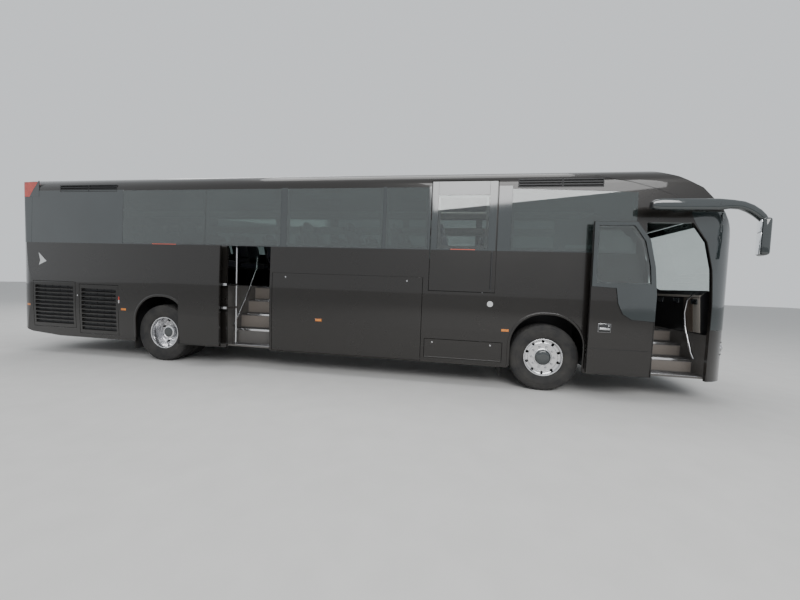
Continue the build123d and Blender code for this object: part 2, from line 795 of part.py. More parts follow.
def louvre_door(x, z, sign, hinge_x):
    """Engine door with a row of slanted slats in its frame."""
    side = LEFT if sign > 0 else RIGHT
    slot_x = grown(x, -LOUVRE_FRAME)
    pitch = (z[1] - z[0] - 2 * LOUVRE_FRAME - LOUVRE_RISE) / LOUVRE_COUNT
    outside_y = sign * (HALF + WALL)
    inside_y = sign * (HALF - 2 * WALL)
    post_z = (TUCK_START_Z, z[1])
    centre = (hinge_x, sign * (HALF - BARREL_DEPTH), sum(post_z) / 2)
    with BuildPart() as door:
        add(trimmed(leaf_layer, [side_prism(rectangle(x, z), side)]))
        for n in range(LOUVRE_COUNT):
            low = z[0] + LOUVRE_FRAME + n * pitch
            high = low + pitch - LOUVRE_SLAT
            slot = [(outside_y, low), (outside_y, high), (inside_y, high + 2 * LOUVRE_RISE)]
            slot.append((inside_y, low + 2 * LOUVRE_RISE))
            add(cross_prism(slot, slot_x), mode=Mode.SUBTRACT)
        add(rod(centre, BARREL, post_z[1] - post_z[0], "z"))
    return door


write(louvre_door(REAR_LOUVRE_X, REAR_LOUVRE_Z, -1, REAR_LOUVRE_X[0]), "right_rear_louvre_door")
write(louvre_door(FRONT_LOUVRE_X, FRONT_LOUVRE_Z, -1, FRONT_LOUVRE_X[1]), "right_front_louvre_door")
write(louvre_door(REAR_LOUVRE_X, REAR_LOUVRE_Z, 1, REAR_LOUVRE_X[0]), "left_louvre_door")

with BuildPart() as engine_hatch:
    hatch_hinge_x = rear_face_x(HATCH_Z[1]) + BARREL_DEPTH
    add(trimmed(leaf_layer, [block(rear_face, hatch_y, HATCH_Z)]))
    add(rod((hatch_hinge_x, 0, HATCH_Z[1]), BARREL, 2 * HATCH_HALF, "y"))
write(engine_hatch, "engine_hatch")

# Wheelchair door over the lift, hinged at its front edge on the leaning side
lean = atan2(ROOF_LEAN, HEIGHT - ROOF_CORNER_DROP - LEAN_START_Z)
post_z = (LEAN_START_Z + SEAM, HEIGHT - ROOF_CORNER_DROP - ROOF_CORNER_RADIUS)
post_middle = sum(post_z) / 2
lift_pane_seat = rectangle(grown(LIFT_GLASS_X, SEAT), grown(LIFT_GLASS_Z, SEAT))
lift_pane_hole = rectangle(grown(LIFT_GLASS_X, -GLASS_LAP), grown(LIFT_GLASS_Z, -GLASS_LAP))

with BuildPart() as lift_door:
    add(trimmed(leaf_layer, [side_prism(rectangle(LIFT_DOOR_X, LIFT_DOOR_Z), RIGHT)]))
    add(trimmed(rebate_layer, [side_prism(lift_pane_seat, RIGHT)]), mode=Mode.SUBTRACT)
    add(side_prism(lift_pane_hole, RIGHT), mode=Mode.SUBTRACT)
    hinge_middle = (LIFT_DOOR_X[1], BARREL_DEPTH - side_y(post_middle), post_middle)
    with Locations(Location(hinge_middle, (-degrees(lean), 0, 0))):
        Cylinder(BARREL, post_z[1] - post_z[0])
write(lift_door, "lift_door")

with BuildPart() as lift_door_glass:
    add(trimmed(glass_layer, [side_prism(rectangle(LIFT_GLASS_X, LIFT_GLASS_Z), RIGHT)]))
write(lift_door_glass, "lift_door_glass")


def swing(rear_x, travel):
    """Pole, arm pin with the door shut, and arm pin with it open, all in plan."""
    chord = hypot(travel, DOOR_STANDOFF)
    turn = 2 * (90 + DOOR_CLOSING_ANGLE - degrees(atan2(DOOR_STANDOFF, travel)))
    reach = chord / 2 / sin(radians(turn / 2))
    pin_y = PIN_DEPTH + LEAF - HALF
    pole = (rear_x + POLE_INSET_X, pin_y - reach * sin(radians(DOOR_CLOSING_ANGLE)))
    shut = (pole[0] + reach * cos(radians(DOOR_CLOSING_ANGLE)), pin_y)
    return pole, shut, (shut[0] - travel, shut[1] - DOOR_STANDOFF)


def leaf_ears(shut):
    """Bracket ears on the back of a shut leaf, one above each arm end."""
    with BuildPart() as ears:
        for z in ARM_HEIGHTS:
            middle = z + ARM_DEPTH / 2 + SEAT + EAR / 2
            with Locations((shut[0], shut[1] + (EAR_HALF - PIN_DEPTH) / 2, middle)):
                Box(2 * EAR_HALF, PIN_DEPTH + EAR_HALF, EAR)
            with Locations((shut[0], shut[1], middle)):
                Cylinder(PIN_RADIUS + RUNNING_GAP, EAR, mode=Mode.SUBTRACT)
    return ears.part


def swing_arm(rear_x, travel, top_z):
    """Pole with cranked arms that reach round the jamb to the open leaf."""
    pole, shut, opened = swing(rear_x, travel)
    elbow = (pole[0] - ELBOW_INSET, -HALF - ELBOW_STANDOFF)
    last = hypot(opened[0] - elbow[0], opened[1] - elbow[1])
    end_x = opened[0] + ARM_END * (opened[0] - elbow[0]) / last
    end_y = opened[1] + ARM_END * (opened[1] - elbow[1]) / last
    pin = ARM_DEPTH + SEAT + EAR
    with BuildPart() as arm:
        with Locations((pole[0], pole[1], (STEP_Z + SEAT + top_z) / 2)):
            Cylinder(POLE_RADIUS, top_z - STEP_Z - SEAT)
        for z in ARM_HEIGHTS:
            with BuildSketch(Plane.XY.offset(z - ARM_DEPTH / 2)):
                with BuildLine():
                    Polyline(pole, elbow, (end_x, end_y))
                trace(line_width=ARM_WIDTH)
            extrude(amount=ARM_DEPTH)
            with Locations((opened[0], opened[1], z - ARM_DEPTH / 2 + pin / 2)):
                Cylinder(PIN_RADIUS, pin)
    return arm


def open_place(travel):
    """Move that carries a shut leaf to where it stands open."""
    return Location((-travel, -DOOR_STANDOFF, 0))


def open_leaf(outline, travel, rear_x, glass_outlines):
    """Leaf cut from the skin, with its ears, moved to where it stands open."""
    pole, shut, opened = swing(rear_x, travel)
    with BuildPart() as closed:
        add(trimmed(leaf_layer, [side_prism(outline, RIGHT)]))
        if glass_outlines:
            seat = trimmed(rebate_layer, [side_prism(glass_outlines[1], RIGHT)])
            add(seat, mode=Mode.SUBTRACT)
            add(side_prism(glass_outlines[2], RIGHT), mode=Mode.SUBTRACT)
        add(leaf_ears(shut))
    with BuildPart() as leaf:
        add(closed.part.moved(open_place(travel)))
    return leaf


door_glass_edge = [(x, max(z, DOOR_GLASS_BOTTOM_Z)) for x, z in FRONT_DOOR_EDGE[1:]]
front_glass = [
    door_outline(
        FRONT_DOOR_REAR_X,
        door_glass_edge,
        LEAF_GAP + DOOR_GLASS_FRAME + step,
        LEAF_REAR_GAP + DOOR_GLASS_FRAME + step,
    )
    for step in (0, -SEAT, GLASS_LAP / 2)
]
front_leaf = door_outline(FRONT_DOOR_REAR_X, FRONT_DOOR_EDGE, LEAF_GAP, LEAF_REAR_GAP)
mid_leaf = door_outline(MID_DOOR_X[0], MID_DOOR_EDGE, LEAF_GAP, LEAF_REAR_GAP)

write(open_leaf(front_leaf, FRONT_DOOR_TRAVEL, FRONT_DOOR_REAR_X, front_glass), "front_door_leaf")
write(swing_arm(FRONT_DOOR_REAR_X, FRONT_DOOR_TRAVEL, FRONT_DOOR_TOP_Z), "front_door_arm")
write(open_leaf(mid_leaf, MID_DOOR_TRAVEL, MID_DOOR_X[0], None), "mid_door_leaf")
write(swing_arm(MID_DOOR_X[0], MID_DOOR_TRAVEL, MID_DOOR_TOP_Z), "mid_door_arm")

with BuildPart() as front_door_glass:
    shut_glass = trimmed(glass_layer, [side_prism(front_glass[0], RIGHT)])
    add(shut_glass.moved(open_place(FRONT_DOOR_TRAVEL)))
write(front_door_glass, "front_door_glass")

# Stairwells behind the two doors
FRONT_STAIR_X = (FRONT_DOOR_REAR_X - BULKHEAD, FRONT_DOOR_EDGE[0][0] + SEAM)
MID_STAIR_X = grown(MID_DOOR_X, BULKHEAD)
FRONT_RISE = (PLATFORM_Z - STEP_Z) / FRONT_STEPS
MID_RISE = (DECK_Z - STEP_Z) / MID_STEPS
FRONT_STAIR_Y = -STAIR_START_Y + FRONT_STEPS * FRONT_TREAD + STEP_PLATE
MID_STAIR_Y = -STAIR_START_Y + MID_STEPS * MID_TREAD + STEP_PLATE


def stair_points(rise, tread, count):
    """Bent plate of a stair in the cross-section, from the door inwards."""
    top = [(-HALF, STEP_Z)]
    for n in range(count):
        y = -STAIR_START_Y + (n + 1) * tread
        top += [(y, STEP_Z + n * rise), (y, STEP_Z + (n + 1) * rise)]
    below = [(y + STEP_PLATE, z - STEP_PLATE) for y, z in top[1:-1]]
    last = (top[-1][0] + STEP_PLATE, top[-1][1])
    return [*top, last, *below[::-1], (-HALF, STEP_Z - STEP_PLATE)]


def stair(x, rise, tread, count):
    """Stair with a cheek plate at each end, trimmed to the inside of the wall."""
    cheek_y = (-HALF, -STAIR_START_Y + count * tread + STEP_PLATE)
    cheek_z = (STEP_Z - STEP_PLATE, STEP_Z + count * rise)
    with BuildPart() as steps:
        add(cross_prism(stair_points(rise, tread, count), x))
        add(block((x[0] - STEP_PLATE, x[0]), cheek_y, cheek_z))
        add(block((x[1], x[1] + STEP_PLATE), cheek_y, cheek_z))
        add(room, mode=Mode.INTERSECT)
    return steps.part


with BuildPart() as entry_steps:
    add(stair(FRONT_STAIR_X, FRONT_RISE, FRONT_TREAD, FRONT_STEPS))
    add(stair(MID_STAIR_X, MID_RISE, MID_TREAD, MID_STEPS))
write(entry_steps, "entry_steps")

front_well_x = grown(FRONT_STAIR_X, STEP_PLATE)
mid_well_x = grown(MID_STAIR_X, STEP_PLATE)
front_stairwell = block(front_well_x, (-WIDTH, FRONT_STAIR_Y), (0, PLATFORM_Z + DECK))
mid_stairwell = block(mid_well_x, (-WIDTH, MID_STAIR_Y), (0, DECK_Z + DECK))

# Passenger deck, driver's platform and the two steps between them
with BuildPart() as cabin_floor:
    riser_x = (PLATFORM_REAR_X, PLATFORM_REAR_X + DECK)
    platform_x = (PLATFORM_REAR_X, PLATFORM_FRONT_X)
    add(block((REAR_X, PLATFORM_REAR_X), ACROSS, (DECK_Z - DECK, DECK_Z)))
    add(block(platform_x, ACROSS, (PLATFORM_Z - DECK, PLATFORM_Z)))
    add(block(riser_x, ACROSS, (PLATFORM_Z - DECK, DECK_Z)))
    for n in (1, 2):
        step_x = (PLATFORM_REAR_X, PLATFORM_REAR_X + n * AISLE_STEP)
        step_z = (PLATFORM_Z, DECK_Z - n * (DECK_Z - PLATFORM_Z) / 3)
        add(block(step_x, (-AISLE_STEP_HALF, AISLE_STEP_HALF), step_z))
    add(room, mode=Mode.INTERSECT)
    add(front_stairwell, mode=Mode.SUBTRACT)
    add(mid_stairwell, mode=Mode.SUBTRACT)
write(cabin_floor, "cabin_floor")

# Underframe: bay floor, bulkheads, rails, engine cradle and towing beams with their sockets
BAY_X = (REAR_AXLE_X + REAR_WELL_HALF, FRONT_AXLE_X - FRONT_WELL_HALF)
BAY_TOP_Z = DECK_Z - DECK
LIFT_BULKHEAD_X = LIFT_FLAP_X[0] - SEAM - BULKHEAD
rear_tow_x = (TOW_BEAM_REAR_X, TOW_BEAM_REAR_X + TOW_BEAM)
front_tow_x = (TOW_BEAM_FRONT_X, TOW_BEAM_FRONT_X + TOW_BEAM)
tow_y = (-TOW_BEAM_HALF, TOW_BEAM_HALF)

with BuildPart() as underframe:
    add(block(BAY_X, ACROSS, (BAY_FLOOR_Z - BAY_FLOOR, BAY_FLOOR_Z)))
    bulkhead_z = (BAY_FLOOR_Z + SEAT, BAY_TOP_Z)
    for x in (BAY_X[0], BAY_X[1] - BULKHEAD):
        add(block((x, x + BULKHEAD), ACROSS, bulkhead_z))
    add(block((LIFT_BULKHEAD_X, LIFT_BULKHEAD_X + BULKHEAD), RIGHT, bulkhead_z))
    for sign in (1, -1):
        rail_y = sided(RAIL_Y, sign)
        add(block((rear_tow_x[0], BAY_X[0] - SEAT), rail_y, REAR_RAIL_Z))
        add(block((BAY_X[1] + SEAT, front_tow_x[1]), rail_y, FRONT_RAIL_Z))
        for x in CRADLES_X:
            add(block((x, x + CRADLE), rail_y, (ENGINE_Z[0], REAR_RAIL_Z[0])))
    for x in CRADLES_X:
        cradle_z = (ENGINE_Z[0] - CRADLE_PLATE, ENGINE_Z[0])
        add(block((x, x + CRADLE), (-RAIL_Y[1], RAIL_Y[1]), cradle_z))
    add(block(rear_tow_x, tow_y, (TOW_Z - TOW_BEAM, REAR_RAIL_Z[1])))
    add(block(front_tow_x, tow_y, (TOW_Z - TOW_BEAM, FRONT_RAIL_Z[1])))
    add(mid_stairwell, mode=Mode.SUBTRACT)
    add(room, mode=Mode.INTERSECT)
write(underframe, "underframe")

with BuildPart() as tow_sockets:
    socket_reach = SEAT + TOW_LENGTH / 2
    for x in (rear_tow_x[0] - socket_reach, front_tow_x[1] + socket_reach):
        add(rod((x, 0, TOW_Z), TOW_BOSS, TOW_LENGTH, "x"))
        add(rod((x, 0, TOW_Z), TOW_BORE, TOW_LENGTH, "x"), mode=Mode.SUBTRACT)
write(tow_sockets, "tow_sockets")

with BuildPart() as engine_block:
    add(block(ENGINE_X, (-ENGINE_HALF, ENGINE_HALF), ENGINE_Z))
write(engine_block, "engine_block")


def well(axle_x, half, inner_y, sign):
    """Wheel housing: a box open to the side and below, with a slot for the axle."""
    x = (axle_x - half, axle_x + half)
    slot_x = (axle_x - AXLE_SLOT, axle_x + AXLE_SLOT)
    hollow_y = sided((inner_y + LINER, WIDTH), sign)
    slot_y = sided((inner_y - LINER, WIDTH), sign)
    with BuildPart() as housing:
        add(block(x, sided((inner_y, WIDTH), sign), (WELL_BOTTOM_Z, WELL_TOP_Z)))
        add(block(grown(x, -LINER), hollow_y, (0, WELL_TOP_Z - LINER)), mode=Mode.SUBTRACT)
        add(block(slot_x, slot_y, (0, AXLE_SLOT_Z)), mode=Mode.SUBTRACT)
        add(room, mode=Mode.INTERSECT)
    return housing.part


with BuildPart() as wheel_wells:
    for sign in (1, -1):
        add(well(FRONT_AXLE_X, FRONT_WELL_HALF, FRONT_WELL_Y, sign))
        add(well(REAR_AXLE_X, REAR_WELL_HALF, REAR_WELL_Y, sign))
write(wheel_wells, "wheel_wells")


def wheel_slice(axle_x, sign, radius, y, sides):
    """Many-sided disc about a wheel's axle, between two distances out from the middle."""
    face = Plane((axle_x, sign * y[0], AXLE_Z), x_dir=(1, 0, 0), z_dir=(0, sign, 0))
    with BuildPart() as solid:
        with BuildSketch(face):
            RegularPolygon(radius, sides)
        extrude(amount=y[1] - y[0])
    return solid.part


def air_spring(axle_x, y, z):
    """Upright air spring between an axle and a rail."""
    with BuildPart() as spring:
        with BuildSketch(Plane((axle_x, y, z[0]))):
            RegularPolygon(SPRING_RADIUS, SPRING_SIDES)
        extrude(amount=z[1] - z[0])
    return spring.part


# Front axle: cranked beam with kingpin eyes, springs and links to the bay bulkhead
half_beam = [
    (KINGPIN_Y, BEAM_END_Z[1]),
    (KINGPIN_Y, BEAM_END_Z[0]),
    (BEAM_BENDS_Y[1], BEAM_END_Z[0]),
    (BEAM_BENDS_Y[0], BEAM_MIDDLE_Z[0]),
]
other_half = [(-y, z) for y, z in half_beam[::-1]]
beam_top = [(-BEAM_BENDS_Y[1], BEAM_END_Z[1]), (-BEAM_BENDS_Y[0], BEAM_MIDDLE_Z[1])]
beam_top += [(-y, z) for y, z in beam_top[::-1]]
rail_middle = sum(RAIL_Y) / 2
eye_z = (AXLE_Z - BOSS_HEIGHT / 2, AXLE_Z + BOSS_HEIGHT / 2)
beam_x = (FRONT_AXLE_X - BEAM_HALF, FRONT_AXLE_X + BEAM_HALF)
front_link_z = (BEAM_MIDDLE_Z[1] - LINK, BEAM_MIDDLE_Z[1])

with BuildPart() as front_axle:
    add(cross_prism(half_beam + other_half + beam_top, beam_x))
    for sign in (1, -1):
        link_y = sided(grown((rail_middle, rail_middle), LINK / 2), sign)
        pin_centre = (FRONT_AXLE_X, sign * KINGPIN_Y, AXLE_Z)
        add(rod(pin_centre, KINGPIN_BOSS / 2, BOSS_HEIGHT, "z"))
        pin_bore = rod(pin_centre, KINGPIN_RADIUS + RUNNING_GAP, BOSS_HEIGHT, "z")
        add(pin_bore, mode=Mode.SUBTRACT)
        spring_z = (BEAM_MIDDLE_Z[1] - SEAT, FRONT_RAIL_Z[0] - SEAT)
        add(air_spring(FRONT_AXLE_X, sign * rail_middle, spring_z))
        add(block((BAY_X[1] + SEAT, FRONT_AXLE_X), link_y, front_link_z))
write(front_axle, "front_axle")

# Rear axle: tube with gear housing and brakes, springs, links and the drive shaft
with BuildPart() as rear_axle:
    add(rod((REAR_AXLE_X, 0, AXLE_Z), AXLE_TUBE_RADIUS, 2 * BRAKE_Y[0], "y"))
    add(wheel_slice(REAR_AXLE_X, 1, GEAR_RADIUS, (-GEAR_HALF, GEAR_HALF), SPRING_SIDES))
    for sign in (1, -1):
        link_y = sided(grown((rail_middle, rail_middle), LINK / 2), sign)
        spindle_end = REAR_HUB_Y + REAR_HUB_BORE_END - SEAT
        spindle_y = sided((BRAKE_Y[1], spindle_end), sign)
        spindle_centre = (REAR_AXLE_X, sum(spindle_y) / 2, AXLE_Z)
        add(wheel_slice(REAR_AXLE_X, sign, BRAKE_RADIUS, BRAKE_Y, HUB_SIDES))
        add(rod(spindle_centre, SPINDLE_RADIUS, spindle_y[1] - spindle_y[0], "y"))
        add(air_spring(REAR_AXLE_X, sign * rail_middle, (AXLE_Z, REAR_RAIL_Z[0] - SEAT)))
        add(block((REAR_AXLE_X, BAY_X[0] - SEAT), link_y, (AXLE_Z - LINK / 2, AXLE_Z + LINK / 2)))
    shaft_x = (ENGINE_X[1] + SEAT, REAR_AXLE_X)
    shaft_centre = (sum(shaft_x) / 2, 0, SHAFT_Z)
    add(rod(shaft_centre, SHAFT_RADIUS, shaft_x[1] - shaft_x[0], "x"))
write(rear_axle, "rear_axle")


def knuckle(sign):
    """Steering knuckle: kingpin between two ears, web, wheel spindle and steering arm."""
    x = FRONT_AXLE_X
    low_z = (eye_z[0] - SEAT - KNUCKLE_EAR, eye_z[0] - SEAT)
    high_z = (eye_z[1] + SEAT, eye_z[1] + SEAT + KNUCKLE_EAR)
    web_y = (KINGPIN_Y + KINGPIN_BOSS / 2 + KNUCKLE_WEB_GAP, FRONT_HUB_Y - KNUCKLE_WEB_GAP)
    ear_y = (KINGPIN_Y - KNUCKLE_EAR_HALF, web_y[1])
    arm_length, arm_width = STEERING_ARM
    arm_y = (ear_y[0] - arm_width, ear_y[0])
    arm_x = (x - KNUCKLE_EAR_HALF - arm_length, x + KNUCKLE_EAR_HALF)
    spindle_y = sided((web_y[0], FRONT_HUB_Y + FRONT_HUB_BORE_END - SEAT), sign)
    spindle_centre = (x, sum(spindle_y) / 2, AXLE_Z)
    pin_centre = (x, sign * KINGPIN_Y, AXLE_Z)
    with BuildPart() as piece:
        add(rod(pin_centre, KINGPIN_RADIUS, high_z[1] - low_z[0], "z"))
        for z in (low_z, high_z):
            add(block((x - KNUCKLE_EAR_HALF, x + KNUCKLE_EAR_HALF), sided(ear_y, sign), z))
        web_x = (x - KNUCKLE_WEB_HALF, x + KNUCKLE_WEB_HALF)
        add(block(web_x, sided(web_y, sign), (low_z[0], high_z[1])))
        add(block(arm_x, sided(arm_y, sign), low_z))
        add(rod(spindle_centre, SPINDLE_RADIUS, spindle_y[1] - spindle_y[0], "y"))
    return piece


write(knuckle(1), "left_knuckle")
write(knuckle(-1), "right_knuckle")


def tyre(axle_x, sign, centre):
    """Tyre with chamfered shoulders, on the rim's seat."""
    y = (centre - TYRE_WIDTH / 2, centre + TYRE_WIDTH / 2)
    with BuildPart() as ring:
        add(wheel_slice(axle_x, sign, TYRE_RADIUS, y, TYRE_SIDES))
        chamfer([e for face in faces().filter_by(Axis.Y) for e in face.edges()], TYRE_SHOULDER)
        add(wheel_slice(axle_x, sign, RIM_RADIUS + SEAT, y, RIM_SIDES), mode=Mode.SUBTRACT)
    return ring.part


def hand_holes(axle_x, sign, y):
    """Ring of holes through a wheel disc."""
    face = Plane((axle_x, sign * y[0], AXLE_Z), x_dir=(1, 0, 0), z_dir=(0, sign, 0))
    with BuildPart() as holes:
        with BuildSketch(face):
            with PolarLocations(HAND_HOLE_CIRCLE, HAND_HOLES):
                RegularPolygon(HAND_HOLE_RADIUS, HAND_HOLE_SIDES)
        extrude(amount=y[1] - y[0])
    return holes.part


def rim(axle_x, sign, centre, half, disc, hub_slices, bore):
    """Rim: barrel, disc between two hollows, hub of turned slices and a blind bore."""
    barrel_y = shifted((-half, half), centre)
    back_y = shifted((-half, disc[0]), centre)
    dish_y = shifted((disc[1], half), centre)
    bore_centre = (axle_x, sign * (centre + sum(bore) / 2), AXLE_Z)
    with BuildPart() as piece:
        add(wheel_slice(axle_x, sign, RIM_RADIUS, barrel_y, RIM_SIDES))
        for radius, y in ((BARREL_INSIDE, back_y), (DISH_INSIDE, dish_y)):
            add(wheel_slice(axle_x, sign, radius, y, RIM_SIDES), mode=Mode.SUBTRACT)
        add(hand_holes(axle_x, sign, shifted(disc, centre)), mode=Mode.SUBTRACT)
        for radius, y in hub_slices:
            add(wheel_slice(axle_x, sign, radius, shifted(y, centre), HUB_SIDES))
        hole = rod(bore_centre, SPINDLE_RADIUS + RUNNING_GAP, bore[1] - bore[0], "y")
        add(hole, mode=Mode.SUBTRACT)
    return piece


FRONT_HUB = [(FRONT_HUB_RADIUS, (0, FRONT_HUB_END))]
REAR_HUBS = [(REAR_HUB_RADIUS, REAR_HUB), (REAR_CAP_RADIUS, (REAR_HUB[1], REAR_CAP_END))]

for side, sign in (("left", 1), ("right", -1)):
    with BuildPart() as front_tyre:
        add(tyre(FRONT_AXLE_X, sign, FRONT_HUB_Y))
    write(front_tyre, f"front_{side}_tyre")
    bore = (0, FRONT_HUB_BORE_END)
    front_rim = rim(FRONT_AXLE_X, sign, FRONT_HUB_Y, FRONT_RIM_HALF, FRONT_DISC, FRONT_HUB, bore)
    write(front_rim, f"front_{side}_rim")
    with BuildPart() as rear_tyres:
        add(tyre(REAR_AXLE_X, sign, REAR_HUB_Y - TWIN_SPACING / 2))
        add(tyre(REAR_AXLE_X, sign, REAR_HUB_Y + TWIN_SPACING / 2))
    write(rear_tyres, f"rear_{side}_tyres")
    bore = (REAR_HUB[0], REAR_HUB_BORE_END)
    rear_rims = rim(REAR_AXLE_X, sign, REAR_HUB_Y, REAR_RIM_HALF, REAR_DISC, REAR_HUBS, bore)
    write(rear_rims, f"rear_{side}_rims")


def seat(x, y, z, outline):
    """Seat with a side outline, between two widths."""
    return side_prism([(x + forward, z + up) for forward, up in outline], y)


# Seats in pairs along both sides, none over the middle stairs, and the driver's seat
rows = int((PLATFORM_REAR_X - FIRST_SEAT_X - SEAT_DEPTH) / SEAT_PITCH)
pair_y = (AISLE_HALF, AISLE_HALF + SEAT_PAIR_WIDTH)
driver_y = (DRIVER_Y - DRIVER_SEAT_WIDTH / 2, DRIVER_Y + DRIVER_SEAT_WIDTH / 2)

with BuildPart() as seats:
    for row in range(rows):
        x = FIRST_SEAT_X + row * SEAT_PITCH
        over_stairs = x + SEAT_DEPTH > mid_well_x[0] and x - SEAT_RAKE < mid_well_x[1]
        add(seat(x, pair_y, DECK_Z, SEAT_OUTLINE))
        if not over_stairs:
            add(seat(x, sided(pair_y, -1), DECK_Z, SEAT_OUTLINE))
    add(seat(DRIVER_SEAT_X, driver_y, PLATFORM_Z, DRIVER_SEAT_OUTLINE))
write(seats, "seats")

# Dashboard across the front, with the console and column for the steering wheel
steering_place = Location(STEERING_CENTRE, (0, -COLUMN_TILT, 0))

with BuildPart() as dashboard:
    add(side_prism(from_front(DASH_OUTLINE), (-DASH_HALF, DASH_HALF)))
    add(side_prism(from_front(CONSOLE_OUTLINE), (CONSOLE_INSIDE_Y, DASH_HALF)))
    add(block((PLATFORM_FRONT_X + SEAT, FRONT_X), ACROSS, (0, 2 * HEIGHT)), mode=Mode.SUBTRACT)
    with Locations(steering_place):
        with Locations((0, 0, -COLUMN_LENGTH / 2 - HUB_DEPTH / 2 - SEAT)):
            Cylinder(COLUMN_RADIUS, COLUMN_LENGTH)
    add(room, mode=Mode.INTERSECT)
write(dashboard, "dashboard")

with BuildPart() as steering_wheel:
    with Locations(steering_place):
        Cylinder(HUB_RADIUS, HUB_DEPTH)
        Box(2 * STEERING_RADII[0] + SPOKE[1], SPOKE[0], SPOKE[1])
        Box(SPOKE[0], 2 * STEERING_RADII[0] + SPOKE[1], SPOKE[1])
    with BuildSketch(Plane(steering_place).offset(-STEERING_GRIP / 2)):
        RegularPolygon(STEERING_RADII[1], STEERING_SIDES)
        RegularPolygon(STEERING_RADII[0], STEERING_SIDES, mode=Mode.SUBTRACT)
    extrude(amount=STEERING_GRIP)
write(steering_wheel, "steering_wheel")

# Luggage racks along both sides of the cabin
with BuildPart() as luggage_racks:
    for sign in (1, -1):
        shelf_y = sided((RACK_Y + SEAT, WIDTH), sign)
        lip_y = sided((RACK_Y - RACK_PLATE, RACK_Y), sign)
        add(block(RACK_X, shelf_y, (RACK_Z, RACK_Z + RACK_PLATE)))
        add(block(RACK_X, lip_y, (RACK_Z, RACK_Z + RACK_LIP)))
    add(room, mode=Mode.INTERSECT)
write(luggage_racks, "luggage_racks")

# Grab rails beside the stairs
with BuildPart() as handrails:
    for x, y, floor_z in (
        (MID_DOOR_X[0] + 260, MID_STAIR_Y + RAIL_STANDOFF, DECK_Z),
        (FRONT_DOOR_REAR_X + RAIL_STANDOFF, FRONT_STAIR_Y + RAIL_STANDOFF, PLATFORM_Z),
    ):
        add(rod((x, y, floor_z + RAIL_HEIGHT / 2), RAIL_RADIUS, RAIL_HEIGHT, "z"))
write(handrails, "handrails")

# Mirrors on horns from the roof corners
with BuildPart() as mirrors:
    for sign in (1, -1):
        x, y, z = MIRROR_CENTRE
        add(side_prism(from_front(HORN_OUTLINE), sided(HORN_Y, sign)))
        add(block(HORN_ROOT_X, sided((HALF - HORN_ROOT_DEPTH, HORN_Y[0]), sign), HORN_ROOT_Z))
        with BuildSketch(Plane((x, sign * y, z - MIRROR_SIZE[2] / 2))):
            with Locations(Location((0, 0, 0), sign * MIRROR_TURN)):
                Rectangle(MIRROR_SIZE[0], MIRROR_SIZE[1])
            fillet(vertices(), MIRROR_CORNER)
        extrude(amount=MIRROR_SIZE[2])
    add(envelope(-SEAT), mode=Mode.SUBTRACT)
write(mirrors, "mirrors")
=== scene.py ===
"""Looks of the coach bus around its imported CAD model."""

from math import copysign, cos, exp, pi, radians, sin, sqrt
import bpy
import bmesh
from mathutils import Matrix, Vector


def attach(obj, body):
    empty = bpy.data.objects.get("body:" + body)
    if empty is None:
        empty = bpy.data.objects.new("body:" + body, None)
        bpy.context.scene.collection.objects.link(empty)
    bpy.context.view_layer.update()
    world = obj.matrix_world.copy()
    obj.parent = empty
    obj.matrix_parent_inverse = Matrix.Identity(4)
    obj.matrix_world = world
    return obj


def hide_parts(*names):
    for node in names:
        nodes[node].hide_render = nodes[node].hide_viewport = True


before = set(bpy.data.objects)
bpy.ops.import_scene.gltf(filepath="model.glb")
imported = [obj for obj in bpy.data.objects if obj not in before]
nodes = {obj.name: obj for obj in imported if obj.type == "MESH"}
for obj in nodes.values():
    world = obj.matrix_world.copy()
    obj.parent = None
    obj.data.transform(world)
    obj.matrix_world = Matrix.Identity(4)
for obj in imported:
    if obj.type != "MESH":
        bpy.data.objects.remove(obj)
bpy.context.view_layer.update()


# Materials
def set_to(node, sockets):
    """Sets constant sockets of a node; an underscore in a name stands for a space."""
    for key, value in sockets.items():
        node.inputs[key.replace("_", " ")].default_value = value
    return node


def shader_node(tree, kind, **sockets):
    """New shader node with its constant sockets."""
    return set_to(tree.nodes.new("ShaderNode" + kind), sockets)


def noise(tree, scale, detail, stretch=(1, 1, 1)):
    """Noise texture in object space, stretched along the axes."""
    place = shader_node(tree, "Mapping", Scale=stretch)
    texture = shader_node(tree, "TexNoise", Scale=scale, Detail=detail)
    tree.links.new(shader_node(tree, "TexCoord").outputs["Object"], place.inputs["Vector"])
    tree.links.new(place.outputs["Vector"], texture.inputs["Vector"])
    return texture.outputs["Fac"]


def ramp(tree, fac, stops):
    """Colour ramp over a factor; stops are (position, colour)."""
    node = shader_node(tree, "ValToRGB")
    elements = node.color_ramp.elements
    while len(elements) < len(stops):
        elements.new(0.5)
    for element, (position, colour) in zip(elements, stops):
        element.position = position
        element.color = (*colour, 1)
    tree.links.new(fac, node.inputs["Fac"])
    return node.outputs["Color"]


